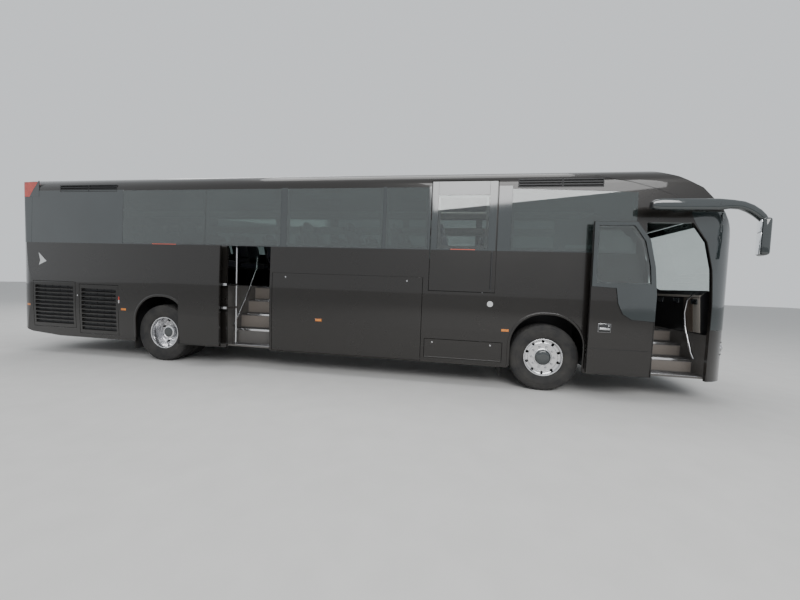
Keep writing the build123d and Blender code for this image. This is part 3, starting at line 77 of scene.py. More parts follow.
def material(name, colour, rough, metal=0.0, tones=(), gloss=(), relief=(), **sockets):
    """Principled material with constant sockets, and noise over what is given as
    tones (scale, detail, *stops), gloss (scale, detail, low, high) or
    relief (scale, detail, strength, distance, and a stretch if any)."""
    m = bpy.data.materials.new(name)
    m.use_nodes = True
    tree = m.node_tree
    link = tree.links.new
    fixed = {"Base Color": (*colour, 1), "Roughness": rough, "Metallic": metal, **sockets}
    shader = set_to(tree.nodes["Principled BSDF"], fixed).inputs
    if tones:
        scale, detail, *stops = tones
        link(ramp(tree, noise(tree, scale, detail), stops), shader["Base Color"])
    if gloss:
        scale, detail, low, high = gloss
        node = shader_node(tree, "MapRange", To_Min=low, To_Max=high)
        link(noise(tree, scale, detail), node.inputs["Value"])
        link(node.outputs["Result"], shader["Roughness"])
    if relief:
        scale, detail, strength, distance, *stretch = relief
        node = shader_node(tree, "Bump", Strength=strength, Distance=distance)
        link(noise(tree, scale, detail, *stretch), node.inputs["Height"])
        link(node.outputs["Normal"], shader["Normal"])
    return m


paint = material(
    "paint", (0.022, 0.02, 0.019), 0.3, 0.35, gloss=(2.2, 6, 0.22, 0.36),
    tones=(900, 2, (0.35, (0.015, 0.0135, 0.0123)), (0.7, (0.031, 0.0278, 0.0252))),
    Specular_IOR_Level=0.3, Coat_Weight=1.0, Coat_Roughness=0.025, Coat_IOR=1.4,
)
black = material(
    "black_plastic", (0.018, 0.018, 0.019), 0.45, gloss=(60, 5, 0.38, 0.55), relief=(1400, 2, 0.15, 0.0004),
)
gloss_black = material(
    "gloss_black", (0.022, 0.029, 0.03), 0.05, gloss=(3, 4, 0.03, 0.09), IOR=1.9,
    tones=(1.2, 5, (0.3, (0.018, 0.024, 0.025)), (0.7, (0.026, 0.034, 0.0355))),
)
glass = material(
    "tinted_glass", (0.15, 0.19, 0.182), 0.0, gloss=(1.5, 3, 0.0, 0.015), Transmission_Weight=0.85, IOR=1.9,
    tones=(0.9, 4, (0.3, (0.135, 0.172, 0.165)), (0.7, (0.165, 0.208, 0.199))),
)
clear = material(
    "clear_glass", (0.62, 0.68, 0.66), 0.0, gloss=(1.5, 3, 0.0, 0.015), Transmission_Weight=1.0, IOR=1.75,
    tones=(0.9, 4, (0.3, (0.6, 0.66, 0.64)), (0.7, (0.65, 0.71, 0.69))),
)
lens = material(
    "clear_lens", (0.9, 0.92, 0.94), 0.06, relief=(90, 2, 0.2, 0.001, (1, 1, 0.1)),
    Transmission_Weight=0.85, IOR=1.5,
)
red = material(
    "red_lens", (0.5, 0.03, 0.012), 0.15, relief=(140, 2, 0.15, 0.001), Coat_Weight=0.8,
    tones=(12, 4, (0.3, (0.42, 0.022, 0.01)), (0.7, (0.62, 0.045, 0.015))),
)
amber = material(
    "amber_lens", (0.75, 0.22, 0.015), 0.15, relief=(140, 2, 0.15, 0.001), Coat_Weight=0.8,
    tones=(12, 4, (0.3, (0.65, 0.17, 0.012)), (0.7, (0.85, 0.28, 0.02))),
)
steel = material(
    "frame_steel", (0.05, 0.05, 0.052), 0.55, 0.4, relief=(120, 4, 0.2, 0.001),
    tones=(9, 8, (0.3, (0.025, 0.025, 0.027)), (0.75, (0.075, 0.07, 0.065))),
)
iron = material(
    "engine_iron", (0.1, 0.1, 0.1), 0.6, 0.5, relief=(80, 5, 0.3, 0.002),
    tones=(7, 8, (0.3, (0.05, 0.05, 0.052)), (0.7, (0.14, 0.135, 0.13))),
)
floor_cover = material(
    "floor_cover", (0.1, 0.095, 0.09), 0.6, relief=(500, 2, 0.2, 0.0006),
    tones=(350, 2, (0.45, (0.07, 0.066, 0.062)), (0.6, (0.17, 0.16, 0.15))),
)
trim = material(
    "inner_trim", (0.36, 0.33, 0.3), 0.65, relief=(700, 2, 0.2, 0.0005),
    tones=(240, 3, (0.4, (0.32, 0.29, 0.26)), (0.6, (0.4, 0.37, 0.33))),
)
aluminium = material(
    "wheel_aluminium", (0.72, 0.72, 0.73), 0.18, 1.0, gloss=(25, 6, 0.12, 0.3), relief=(300, 2, 0.05, 0.0003),
)
chrome = material("rail_metal", (0.62, 0.62, 0.63), 0.2, 1.0, gloss=(30, 4, 0.14, 0.3))
rubber = material(
    "tyre_rubber", (0.022, 0.022, 0.023), 0.75, relief=(260, 4, 0.25, 0.001),
    tones=(7, 8, (0.3, (0.016, 0.016, 0.017)), (0.75, (0.045, 0.042, 0.038))),
)
rack = material(
    "rack_plastic", (0.42, 0.4, 0.37), 0.6, relief=(600, 2, 0.15, 0.0005),
    tones=(20, 4, (0.3, (0.38, 0.36, 0.33)), (0.7, (0.46, 0.44, 0.41))),
)
fabric = material(
    "seat_fabric", (0.05, 0.06, 0.1), 0.9, relief=(1500, 2, 0.5, 0.001), Sheen_Weight=0.4,
    tones=(130, 3, (0.42, (0.03, 0.036, 0.06)), (0.52, (0.075, 0.08, 0.115)), (0.6, (0.11, 0.1, 0.11))),
)
brown = material(
    "brown_panel", (0.105, 0.078, 0.06), 0.45, relief=(500, 2, 0.2, 0.0005),
    tones=(30, 5, (0.3, (0.085, 0.063, 0.049)), (0.7, (0.125, 0.094, 0.073))),
)
taupe = material(
    "step_taupe", (0.19, 0.165, 0.145), 0.55, relief=(600, 2, 0.2, 0.0005),
    tones=(200, 3, (0.35, (0.155, 0.135, 0.118)), (0.65, (0.225, 0.197, 0.173))),
)
white = material(
    "blank_white", (0.62, 0.63, 0.63), 0.35, Coat_Weight=0.4,
    tones=(40, 4, (0.3, (0.57, 0.58, 0.58)), (0.7, (0.66, 0.67, 0.67))),
)
red_strip = material(
    "red_strip", (0.62, 0.07, 0.03), 0.3, Coat_Weight=0.5,
    tones=(60, 4, (0.3, (0.55, 0.055, 0.022)), (0.7, (0.7, 0.1, 0.045))),
)
mirror_glass = material("mirror_glass", (0.8, 0.82, 0.84), 0.03, 1.0, gloss=(6, 2, 0.015, 0.05))

MATERIALS = {m.name.split(".")[0]: m for m in (
    paint, black, glass, lens, red, amber, steel, iron, floor_cover, aluminium, rubber, chrome, rack, fabric,
)}
for node in nodes.values():
    for s in node.material_slots:
        key = s.material.name.split(".")[0] if s.material else ""
        s.material = MATERIALS.get(key, black)
for name in ("windscreen", "front_door_glass", "lift_door_glass"):
    for s in nodes[name].material_slots:
        s.material = clear

# Sizes in metres, the same as in the CAD model
SIDES = (("left", 1), ("right", -1))
HALF = 1.275
FRONT_X, REAR_X, RA, FA = 6.38, -6.38, -3.05, 3.67
AXLE_Z, DECK_Z, PLATFORM_Z = 0.522, 1.44, 1.0
FRONT_HUB_Y, REAR_HUB_Y, TWIN = 1.04, 0.91, 0.165
BOW_DEPTH, CORNER_R, REAR_CORNER = 0.3, 0.52, 0.42
LEAF_Y, LEAF_FOOT = -1.41, 0.383
WALL_LEAN, LEAN_FROM = 0.0283, 1.5


def side_y(z):
    """Half width of the body's skin, which draws in under the waist and over it."""
    if z < 0.9:
        return HALF - 0.02 * (0.9 - z) / 0.555
    return HALF - max(0, 0.053 * (z - LEAN_FROM) / 1.87)


def mirrored(side, a, b):
    """Two places on a side of the bus, the lower one first."""
    return sorted((side * a, side * b))


def linked(name, data):
    """Object in the scene for a mesh, camera or light."""
    o = bpy.data.objects.new(name, data)
    bpy.context.collection.objects.link(o)
    return o


def smooth(me, sharp):
    """Smooth shading, but for edges over an angle."""
    for p in me.polygons:
        p.use_smooth = True
    me.set_sharp_from_angle(angle=radians(sharp))


def made(name, bm, mats, sharp=32, body="root", instead=()):
    """Piece from a mesh in work, with its materials, riding on a body."""
    bmesh.ops.recalc_face_normals(bm, faces=bm.faces)
    me = bpy.data.meshes.new(name)
    bm.to_mesh(me)
    bm.free()
    for m in mats if isinstance(mats, list) else [mats]:
        me.materials.append(m)
    smooth(me, sharp)
    o = linked(name, me)
    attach(o, body)
    if instead:
        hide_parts(*instead)
    return o


def finished(bm, faces, r, seg, mat):
    """Sets the material of new faces and rounds their edges."""
    for f in faces:
        f.material_index = mat
    if r > 0:
        edges = list({e for f in faces for e in f.edges})
        bmesh.ops.bevel(
            bm, geom=edges, offset=r, segments=seg, profile=0.5, affect="EDGES", clamp_overlap=True,
        )


def bar(bm, low, high, r=0.003, seg=2, turn=None, mat=0):
    """Box with rounded edges between two corners."""
    low, high = Vector(low), Vector(high)
    size = high - low
    m = Matrix.Translation((low + high) / 2)
    if turn:
        m = m @ turn
    cube = bmesh.ops.create_cube(bm, size=1, matrix=m @ Matrix.Diagonal((*size, 1)))
    faces = {f for v in cube["verts"] for f in v.link_faces}
    finished(bm, faces, min(r, min(abs(s) for s in size) * 0.45), seg, mat)


def slab(bm, lines, r=0.0, seg=1, mat=0):
    """Solid between two outlines, with rounded edges."""
    lo, hi = [[bm.verts.new(p) for p in line] for line in lines]
    faces = [bm.faces.new(lo), bm.faces.new(hi[::-1])]
    for i in range(len(lo)):
        j = (i + 1) % len(lo)
        faces.append(bm.faces.new((lo[i], hi[i], hi[j], lo[j])))
    finished(bm, faces, r, seg, mat)


def plate(bm, outline, a, b, r, seg=1, mat=0, along_x=False):
    """Outline drawn in the xz plane, or yz, extruded between two depths."""
    slab(bm, [[(w, u, v) if along_x else (u, w, v) for u, v in outline] for w in (a, b)], r, seg, mat)


def circle(r, n, start=0.0):
    """Points round the origin."""
    turns = [start + 2 * pi * i / n for i in range(n)]
    return [(r * cos(a), r * sin(a)) for a in turns]


def close_rings(bm, rings, n, mat=0, closed=False):
    """Faces between rings of n points; a ring of one point is a tip."""
    for a, b in zip(rings, rings[1:] + rings[:1] if closed else rings[1:]):
        for i in range(n):
            j = (i + 1) % n
            if len(a) == 1:
                corners = (a[0], b[j], b[i])
            elif len(b) == 1:
                corners = (a[i], a[j], b[0])
            else:
                corners = (a[i], a[j], b[j], b[i])
            bm.faces.new(corners).material_index = mat


def loft(bm, rings, closed=False):
    """Skin over equal rings, with end faces unless it closes on itself."""
    close_rings(bm, rings, len(rings[0]), closed=closed)
    if not closed:
        bm.faces.new(rings[0][::-1])
        bm.faces.new(rings[-1])


def sweep(bm, path, section, up=(0, 0, 1), closed=False):
    """Section (side, up) swept along a path; a number gives a round bar."""
    pts = [Vector(p) for p in path]
    if isinstance(section, float):
        section = circle(section, 12)
    rings = []
    n = len(pts)
    for i, p in enumerate(pts):
        a = pts[(i - 1) % n] if closed or i else p
        b = pts[(i + 1) % n] if closed or i < n - 1 else p
        t = (b - a).normalized()
        s = t.cross(Vector(up))
        s = s.normalized() if s.length > 1e-5 else Vector((1, 0, 0))
        u = s.cross(t).normalized()
        turn = 1.0
        if (closed or 0 < i < n - 1) and (p - a).length > 1e-9 and (b - p).length > 1e-9:
            c = (p - a).normalized().dot((b - p).normalized())
            turn = 1 / max(0.5, sqrt((1 + c) / 2))
        rings.append([bm.verts.new(p + s * x * turn + u * y) for x, y in section])
    loft(bm, rings, closed)


def lathe(bm, profile, hub, n, closed=True, mat=0, lower=lambda i, k: 0):
    """Profile (out, radius) turned about a hub (x, y, side); lower(i, k) shortens a radius."""
    x, y, side = hub
    rings = []
    for k, (w, r) in enumerate(profile):
        ring = []
        for i, (c, d) in enumerate(circle(1, n if r else 1)):
            q = r - lower(i, k)
            ring.append(bm.verts.new((x + q * c, side * (y + w), AXLE_Z + q * d)))
        rings.append(ring)
    close_rings(bm, rings, n, mat, closed)


def round_bar(bm, centre, r, half, n=24, edge=0.15, mat=0, along_x=False):
    """Short round stud along y or x with softened ends, about a centre."""
    x, y, z = centre
    e = min(edge * r, half * 0.8)
    rings = []
    for w, q in [(-half, 0), (-half, r - e), (-half + e, r), (half - e, r), (half, r - e), (half, 0)]:
        ring = []
        for u, v in circle(q, n if q else 1):
            ring.append(bm.verts.new((x + w, y + u, z + v) if along_x else (x + u, y + w, z + v)))
        rings.append(ring)
    close_rings(bm, rings, n, mat)


SWELL_LIMIT, PRESSURE, SWELL_FRAMES, SHRUNK = 0.016, 4, 20, 0.95
CHANNEL_WIDTH = 0.07
swollen_pads = {}


def pad_cube(cuts):
    """Cube of unit half sides with its faces divided."""
    pad = bmesh.new()
    bmesh.ops.create_cube(pad, size=2)
    bmesh.ops.subdivide_edges(pad, edges=pad.edges[:], cuts=cuts, use_grid_fill=True)
    return pad


def swollen(half, power, crown, cuts):
    """Points of a pad that swells as cloth under pressure, and the half width they were made for."""
    key = (half[0], half[2], power, crown, cuts)
    if key in swollen_pads:
        return swollen_pads[key]
    pad = pad_cube(cuts)
    for v in pad.verts:
        x, y, z = v.co
        k = (abs(x) ** power + abs(y) ** power + abs(z) ** power) ** (1 / power)
        x, y, z = x / k, y / k, z / k
        v.co = Vector((x * half[0], y * half[1], z * half[2] * (1 + crown * (1 - x * x) * (1 - y * y))))
    me = bpy.data.meshes.new("pad")
    pad.to_mesh(me)
    pad.free()
    points = [v.co.copy() for v in me.vertices]
    start = [p * SHRUNK for p in points]
    for v, p in zip(me.vertices, start):
        v.co = p
    o = linked("pad", me)
    cloth = o.modifiers.new("swell", "CLOTH").settings
    cloth.quality = 6
    cloth.use_pressure = True
    cloth.uniform_pressure_force = PRESSURE
    cloth.effector_weights.gravity = 0
    for frame_number in range(1, SWELL_FRAMES + 1):
        bpy.context.scene.frame_set(frame_number)
    shown = o.evaluated_get(bpy.context.evaluated_depsgraph_get())
    points = []
    for p, v in zip(start, shown.data.vertices):
        move = v.co - p
        points.append(p + move * min(1, SWELL_LIMIT / max(move.length, 1e-9)))
    bpy.data.objects.remove(o)
    bpy.context.scene.frame_set(1)
    bpy.data.meshes.remove(me)
    swollen_pads[key] = (half[1], points)
    return swollen_pads[key]


def cushion(bm, centre, half, power=4, turn=Matrix.Identity(4), crown=0.0, channels=(), cuts=7):
    """Soft pad swollen as cloth, with sewn channels (place, depth) across it."""
    made_half, points = swollen(half, power, crown, cuts)
    pad = pad_cube(cuts)
    for v, q in zip(pad.verts, points):
        dip = 1 - sum(depth * exp(-((q.x / half[0] - c) / CHANNEL_WIDTH) ** 2) for c, depth in channels)
        v.co = Vector(centre) + turn @ Vector((q.x, q.y * half[1] / made_half, q.z * dip))
    me = bpy.data.meshes.new("pad")
    pad.to_mesh(me)
    pad.free()
    bm.from_mesh(me)
    bpy.data.meshes.remove(me)


def cut_by(o, cutters):
    """Takes the cutters' shape out of a piece."""
    me = bpy.data.meshes.new("cutter")
    bmesh.ops.recalc_face_normals(cutters, faces=cutters.faces)
    cutters.to_mesh(me)
    cutters.free()
    c = linked("cutter", me)
    mod = o.modifiers.new("cut", "BOOLEAN")
    mod.operation = "DIFFERENCE"
    mod.solver = "EXACT"
    mod.object = c
    bpy.context.view_layer.update()
    new = bpy.data.meshes.new_from_object(o.evaluated_get(bpy.context.evaluated_depsgraph_get()))
    o.modifiers.clear()
    old = o.data
    o.data = new
    bpy.data.meshes.remove(old)
    bpy.data.objects.remove(c)


# Tyres with ribs, shoulder blocks and ridged sidewalls
TYRE = [
    (-0.112, 0.2905), (-0.122, 0.3), (-0.131, 0.318), (-0.134, 0.322), (-0.136, 0.33), (-0.145, 0.365),
    (-0.1485, 0.405), (-0.1485, 0.412), (-0.1455, 0.418), (-0.1465, 0.44), (-0.141, 0.468), (-0.1435, 0.472),
    (-0.139, 0.49), (-0.13, 0.506), (-0.122, 0.5155), (-0.1, 0.5185), (-0.098, 0.508), (-0.091, 0.508),
    (-0.089, 0.52), (-0.052, 0.5216), (-0.05, 0.509), (-0.043, 0.509), (-0.041, 0.5218), (-0.004, 0.522),
    (-0.003, 0.509),
]
TYRE += [(-w, r) for w, r in TYRE[::-1]]
TREAD = {k for k, (w, r) in enumerate(TYRE) if r > 0.5149}
SHOULDER = 0.095
TYRE_POINTS, DISC_POINTS, CAP_POINTS = 168, 120, 64


def tread_cut(i, k):
    """Depth of the cuts between blocks at a place round the tread and across it."""
    if k not in TREAD:
        return 0
    if abs(TYRE[k][0]) > SHOULDER:
        return 0.009 if i % 4 == 0 else 0
    return 0.003 if i % 4 == 2 else 0


FRONT_DISC = [
    (-0.115, 0.2745), (-0.115, 0.2895), (0.106, 0.2895), (0.112, 0.2915), (0.1175, 0.2915), (0.119, 0.286),
    (0.1165, 0.277), (0.108, 0.271), (0.094, 0.2685), (0.084, 0.265), (0.0795, 0.2585), (0.077, 0.247),
    (0.0775, 0.23), (0.0815, 0.2235), (0.0885, 0.22), (0.0905, 0.213), (0.089, 0.205), (0.088, 0.14),
    (0.093, 0.134), (0.096, 0.124), (0.096, 0.065), (0.06, 0.061), (0.06, 0.245), (0.052, 0.266),
]
REAR_DISC = [
    (-0.28, 0.2745), (-0.28, 0.2895), (0.262, 0.2895), (0.27, 0.2915), (0.279, 0.2915), (0.2805, 0.286),
    (0.278, 0.277), (0.268, 0.271), (0.18, 0.2675), (0.07, 0.2655), (0.038, 0.262), (0.024, 0.254),
    (0.018, 0.242), (0.018, 0.225), (0.024, 0.218), (0.03, 0.212), (0.031, 0.135), (0.04, 0.129),
    (0.17, 0.121), (0.182, 0.116), (0.186, 0.108), (0.186, 0.064), (-0.1, 0.061), (-0.11, 0.145),
    (-0.01, 0.15), (-0.008, 0.245), (-0.02, 0.264),
]
CAP = [
    (-0.02, 0.1205), (0.006, 0.1205), (0.012, 0.1175), (0.013, 0.11), (0.02, 0.104), (0.027, 0.088),
    (0.029, 0.05), (0.0295, 0),
]
CAP_RING = [(-0.004, 0.124), (0.004, 0.124), (0.004, 0.1195), (-0.004, 0.1195)]
WHEEL_NUTS, NUT_CIRCLE, NUT_R, NUT_LENGTH = 10, 0.1675, 0.0135, 0.03
HOLE_CIRCLE, HOLE_R = 0.2445, 0.0225

# Each axle: its name, the ending of its pieces' names, x, the hub's y, the tyres' places beside it,
# the disc, where the nuts and the cap stand on it, and the reach of its hand holes
AXLES = (
    ("front", "", FA, FRONT_HUB_Y, (0,), FRONT_DISC, 0.088, 0.1, (0.03, 0.13)),
    ("rear", "s", RA, REAR_HUB_Y, (-TWIN, TWIN), REAR_DISC, 0.03, 0.16, (-0.05, 0.06)),
)
for end, many, axle_x, hub_y, places, *_ in AXLES:
    for side, s in SIDES:
        bm = bmesh.new()
        for place in places:
            lathe(bm, TYRE, (axle_x, hub_y + place, s), TYRE_POINTS, lower=tread_cut)
        made(
            f"{end}_{side}_tread_tyre{many}", bm, rubber, 28,
            f"{end}_{side}_wheel{many}", (f"{end}_{side}_tyre{many}",),
        )


def hand_holes(hub, low, high):
    """Cutters of the holes round a wheel disc."""
    x, y, side = hub
    bm = bmesh.new()
    for u, v in circle(HOLE_CIRCLE, WHEEL_NUTS, pi / WHEEL_NUTS):
        centre = (x + u, side * (y + (low + high) / 2), AXLE_Z + v)
        round_bar(bm, centre, HOLE_R, (high - low) / 2, 28, 0.01)
    return bm


def nuts(bm, hub, out):
    """Wheel nuts with their washers and stud ends."""
    x, y, side = hub
    for u, v in circle(NUT_CIRCLE, WHEEL_NUTS):
        for place, r, half, n, edge in (
            (0.002, NUT_R * 1.5, 0.003, 20, 0.15), (NUT_LENGTH / 2, NUT_R, NUT_LENGTH / 2, 6, 0.12),
            (NUT_LENGTH + 0.004, NUT_R * 0.6, 0.006, 14, 0.15),
        ):
            round_bar(bm, (x + u, side * (y + out) + side * place, AXLE_Z + v), r, half, n, edge, 2)


# Polished disc wheels with hand holes, nuts and a hub cap
for end, many, axle_x, hub_y, places, profile, nuts_at, cap_at, hole in AXLES:
    for side, s in SIDES:
        hub = (axle_x, hub_y, s)
        bm = bmesh.new()
        lathe(bm, profile, hub, DISC_POINTS)
        o = made(
            f"{end}_{side}_disc{many}", bm, [aluminium, gloss_black, chrome], 30,
            f"{end}_{side}_wheel{many}", (f"{end}_{side}_rim{many}",),
        )
        cut_by(o, hand_holes(hub, *hole))
        bm = bmesh.new()
        bm.from_mesh(o.data)
        nuts(bm, hub, nuts_at)
        lathe(bm, [(cap_at + w, r) for w, r in CAP], hub, CAP_POINTS, False, 1)
        lathe(bm, [(cap_at + w, r) for w, r in CAP_RING], hub, CAP_POINTS, True, 2)
        bm.to_mesh(o.data)
        bm.free()
        smooth(o.data, 30)

# Wheel arch lips on both walls
ARCH_HALF, ARCH_TOP, ARCH_R = 0.545, 1.215, 0.5
LIP = [
    (-0.004, -0.016), (0.004, -0.018), (0.01, -0.012), (0.011, 0.01), (0.007, 0.02), (0.001, 0.024),
    (-0.004, 0.022),
]


def on_side(x, z, side, out=0.0):
    """Point on the skin of a wall, moved outwards."""
    return Vector((x, side * (side_y(z) + out), z))


def arch_path(axle_x, low, side):
    """Points round an arch, on the skin."""
    pts = [(-ARCH_HALF, low), (-ARCH_HALF, 0.5), (-ARCH_HALF, ARCH_TOP - ARCH_R)]
    for k in range(1, 16):
        a = k * pi / 32
        pts.append((-ARCH_HALF + ARCH_R - ARCH_R * cos(a), ARCH_TOP - ARCH_R + ARCH_R * sin(a)))
    pts.append((-ARCH_HALF + ARCH_R, ARCH_TOP))
    pts += [(-x, z) for x, z in pts[::-1]]
    return [on_side(axle_x + x, z, side) for x, z in pts]


for side, s in SIDES:
    bm = bmesh.new()
    for axle_x, low in ((FA, 0.37), (RA, 0.42)):
        path = arch_path(axle_x, low, s)
        rings = []
        for i, p in enumerate(path):
            t = (path[min(i + 1, len(path) - 1)] - path[max(i - 1, 0)]).normalized()
            away = Vector((-t.z, 0, t.x)).normalized()
            rings.append([bm.verts.new(p + Vector((0, s * w, 0)) + away * q) for w, q in LIP])
        loft(bm, rings)
    made(f"{side}_arch_lips", bm, paint, 50)


def side_plate(bm, x0, x1, z0, z1, side, out=0.0022, depth=0.006, r=0.0012, mat=0):
    """Thin plate lying on a wall."""
    corners = [(x0, z0), (x1, z0), (x1, z1), (x0, z1)]
    slab(bm, [[on_side(x, z, side, w) for x, z in corners] for w in (out - depth, out)], r, 1, mat)


def wall_piece(name, mats, plates, body="root", sharp=32):
    """Piece of plates on the right wall; a plate is (x0, x1, z0, z1, out, depth, radius, material)."""
    bm = bmesh.new()
    for x0, x1, z0, z1, *rest in plates:
        side_plate(bm, x0, x1, z0, z1, -1, *rest)
    made(name, bm, mats, sharp, body)


# Dark glossy band around the panes, in strips on the walls and on the wheelchair door
PANES = [(RA - 0.829, RA + 0.885), (RA + 0.891, RA + 2.325), (RA + 2.443, FA - 2.609)]
RIGHT_GLASS = PANES + [(FA - 2.551, FA - 1.87)]
LEFT_GLASS = PANES + [(FA - 2.551, FA - 0.929), (FA - 0.87, FRONT_X - 1.95)]
BAND_Z, BAND_END, PANE_FOOT, LIFT_BAND_TOP = (2.15, 3.152), -5.962, 2.1685, 3.225


def band(bm, spans, side, front_end):
    """Strips between, over and under the panes of one wall."""
    edges = [BAND_END] + [x for span in spans for x in span] + [front_end]
    for a, b in zip(edges[::2], edges[1::2]):
        if b - a > 0.012:
            side_plate(bm, a + 0.002, b - 0.002, *BAND_Z, side)
    for a, b in spans:
        side_plate(bm, a - 0.001, b + 0.001, BAND_Z[0], PANE_FOOT, side, 0.002)


bm = bmesh.new()
band(bm, RIGHT_GLASS, -1, FA - 1.829)
side_plate(bm, FA - 0.788, FA - 0.591, *BAND_Z, -1)
side_plate(bm, FA - 0.589, 4.83, BAND_Z[0], PANE_FOOT, -1, 0.002)
made("right_window_band", bm, gloss_black, 30)
bm = bmesh.new()
band(bm, LEFT_GLASS, 1, FRONT_X - 1.8)
made("left_window_band", bm, gloss_black, 30)
x0, x1 = FA - 1.811, FA - 0.806
wall_piece("lift_door_band", gloss_black, (
    (x0, x0 + 0.095, BAND_Z[0], LIFT_BAND_TOP), (x1 - 0.121, x1 - 0.006, BAND_Z[0], LIFT_BAND_TOP),
    (x0 + 0.097, x1 - 0.123, 3.013, LIFT_BAND_TOP), (x0 + 0.097, x1 - 0.123, BAND_Z[0], 2.178),
), "lift_door", 30)

# Air grilles under the cantrail: a dark frame with fine slats in the grooves
VENTS = [(RA - 2.241, RA - 1.608), (RA - 1.588, RA - 0.984)]
VENTS += [(FA - 0.502, FA + 0.112), (FA + 0.132, FRONT_X - 2.03)]
VENT_Z = (3.12, 3.25)
for side, s in SIDES:
    bm = bmesh.new()
    for a, b in VENTS:
        for row in range(3):
            low = 3.135 + 0.04 * row
            for k in range(2):
                z = low + 0.0055 + 0.0095 * k
                side_plate(bm, a + 0.002, b - 0.002, z, z + 0.003, s, -0.003, 0.01, 0.0008)
            side_plate(bm, a + 0.001, b - 0.001, low + 0.001, low + 0.021, s, -0.016, 0.004, 0.0008)
        strips = [(a - 0.012, b + 0.012, 3.12, 3.1335), (a - 0.012, b + 0.012, 3.1575, 3.1735)]
        strips += [(a - 0.012, b + 0.012, 3.1975, 3.2135), (a - 0.012, b + 0.012, 3.2375, 3.25)]
        strips += [(a - 0.014, a - 0.001, *VENT_Z), (b + 0.001, b + 0.014, *VENT_Z)]
        for strip in strips:
            side_plate(bm, *strip, s, 0.003, 0.006, 0.001)
    made(f"{side}_cantrail_grilles", bm, black, 30)

# Louvred engine doors: fine black blades and a dark mesh behind the slats
SLATS, STAYS = 10, 5


def louvre_fill(name, x, z, s, body):
    """Blades, stays and backing of one louvred door."""
    bm = bmesh.new()
    x0, x1 = x[0] + 0.046, x[1] - 0.046
    pitch = (z[1] - z[0] - 0.09 - 0.026) / SLATS
    for n in range(SLATS):
        for k in (0.32, 0.68):
            zz = z[0] + 0.045 + n * pitch + (pitch - 0.02) * k
            y = s * (side_y(zz) - 0.01)
            back, front = y - s * 0.022, y + s * 0.004
            blade = [(back, zz + 0.011), (front, zz - 0.004), (front, zz - 0.007), (back, zz + 0.008)]
            plate(bm, blade, x0, x1, 0.0006, along_x=True)
    y = s * (HALF - 0.04)
    for k in range(1, STAYS):
        xx = x0 + (x1 - x0) * k / STAYS
        bar(bm, (xx - 0.004, y - 0.006, z[0] + 0.05), (xx + 0.004, y + 0.006, z[1] - 0.05), 0.002)
    y = s * (HALF - 0.0425)
    bar(bm, (x0 - 0.004, y - 0.002, z[0] + 0.044), (x1 + 0.004, y + 0.002, z[1] - 0.044), 0.001, 1)
    made(name, bm, black, 30, body)


REAR_LOUVRE = ((-5.905, -4.924), (0.52, 1.4))
louvre_fill("right_rear_louvre_blades", *REAR_LOUVRE, -1, "right_rear_louvre_door")
louvre_fill("right_front_louvre_blades", (-4.824, -3.961), (0.43, 1.365), -1, "right_front_louvre_door")
louvre_fill("left_louvre_blades", *REAR_LOUVRE, 1, "left_louvre_door")

# Small round locks with a key slot
for name, body, s, places in (
    ("louvre_lock", "root", -1, [(-4.868, 1.15)]),
    ("lift_flap_locks", "lift_flap", -1, [(1.942, 0.675), (2.849, 0.676)]),
    ("right_bay_locks", "right_bay_flap", -1, [(-0.6, 1.64), (1.5, 1.64)]),
    ("left_bay_locks_1", "left_bay_flap_1", 1, [(-2.01, 0.52), (-0.095, 0.52)]),
    ("left_bay_locks_2", "left_bay_flap_2", 1, [(0.645, 0.52), (2.56, 0.52)]),
):
    bm = bmesh.new()
    for x, z in places:
        round_bar(bm, (x, s * (side_y(z) + 0.001), z), 0.013, 0.0035)
        y = s * (side_y(z) + 0.0045)
        bar(bm, (x - 0.0015, y - 0.0006, z - 0.006), (x + 0.0015, y + 0.0006, z + 0.006), 0.0004, 1, mat=1)
    made(name, bm, [chrome, black], body=body)

# Amber marker, blank red and white strips, a pale corner mark and disc, and the lift door's grip
wall_piece("bay_flap_marker", [amber, black], (
    (-0.049, 0.075, 0.903, 0.953, 0.0045, 0.008, 0.002, 1),
    (-0.039, 0.065, 0.911, 0.945, 0.0095, 0.007, 0.003),
), "right_bay_flap")
STRIP = (0.0034, 0.004, 0.0005)
for name, body, strip in (
    ("right_strip", "root", (RA - 0.193, RA + 0.307, 2.156, 2.166)),
    ("lift_door_strip", "lift_door", (RA + 5.22, RA + 5.6, 2.158, 2.168)),
):
    wall_piece(name, red_strip, ((*strip, *STRIP),), body)
wall_piece("louvre_side_reflector", [red, white], (
    (-3.952, -3.93, 1.1, 1.16, 0.003, 0.005, 0.001), (-3.952, -3.93, 1.04, 1.099, 0.003, 0.005, 0.001, 1),
))
bm = bmesh.new()
mark = [(RA - 2.735, 1.955), (RA - 2.545, 1.79), (RA - 2.722, 1.712), (RA - 2.69, 1.8)]
slab(bm, [[on_side(x, z, -1, w) for x, z in mark] for w in (-0.001, 0.0015)])
round_bar(bm, on_side(RA + 5.865, 1.325, -1, 0.0005), 0.045, 0.0015, 40, 0.02)
made("blank_marks", bm, white, 30)
wall_piece("lift_door_grip", black, (
    (RA + 5.846, RA + 5.874, 1.53, 2.15, 0.004, 0.008, 0.002),
    (RA + 5.852, RA + 5.868, 1.56, 2.12, 0.022, 0.01, 0.003),
), "lift_door", 30)

# Seams behind the front corners, up the walls and along the roof's edge
CANT = [(4.23, 3.29), (4.5, 3.243), (4.78, 3.18), (5.06, 3.09), (5.32, 2.985), (5.55, 2.76)]
bm = bmesh.new()
for s in (-1, 1):
    side_plate(bm, 3.0465, 3.0495, 0.352, 1.48, s, 0.0006, 0.003, 0.0003)
    sweep(bm, [on_side(x, z, s, -0.001) for x, z in CANT], 0.0035, (0, 1, 0))
made("body_seams", bm, black, 30)

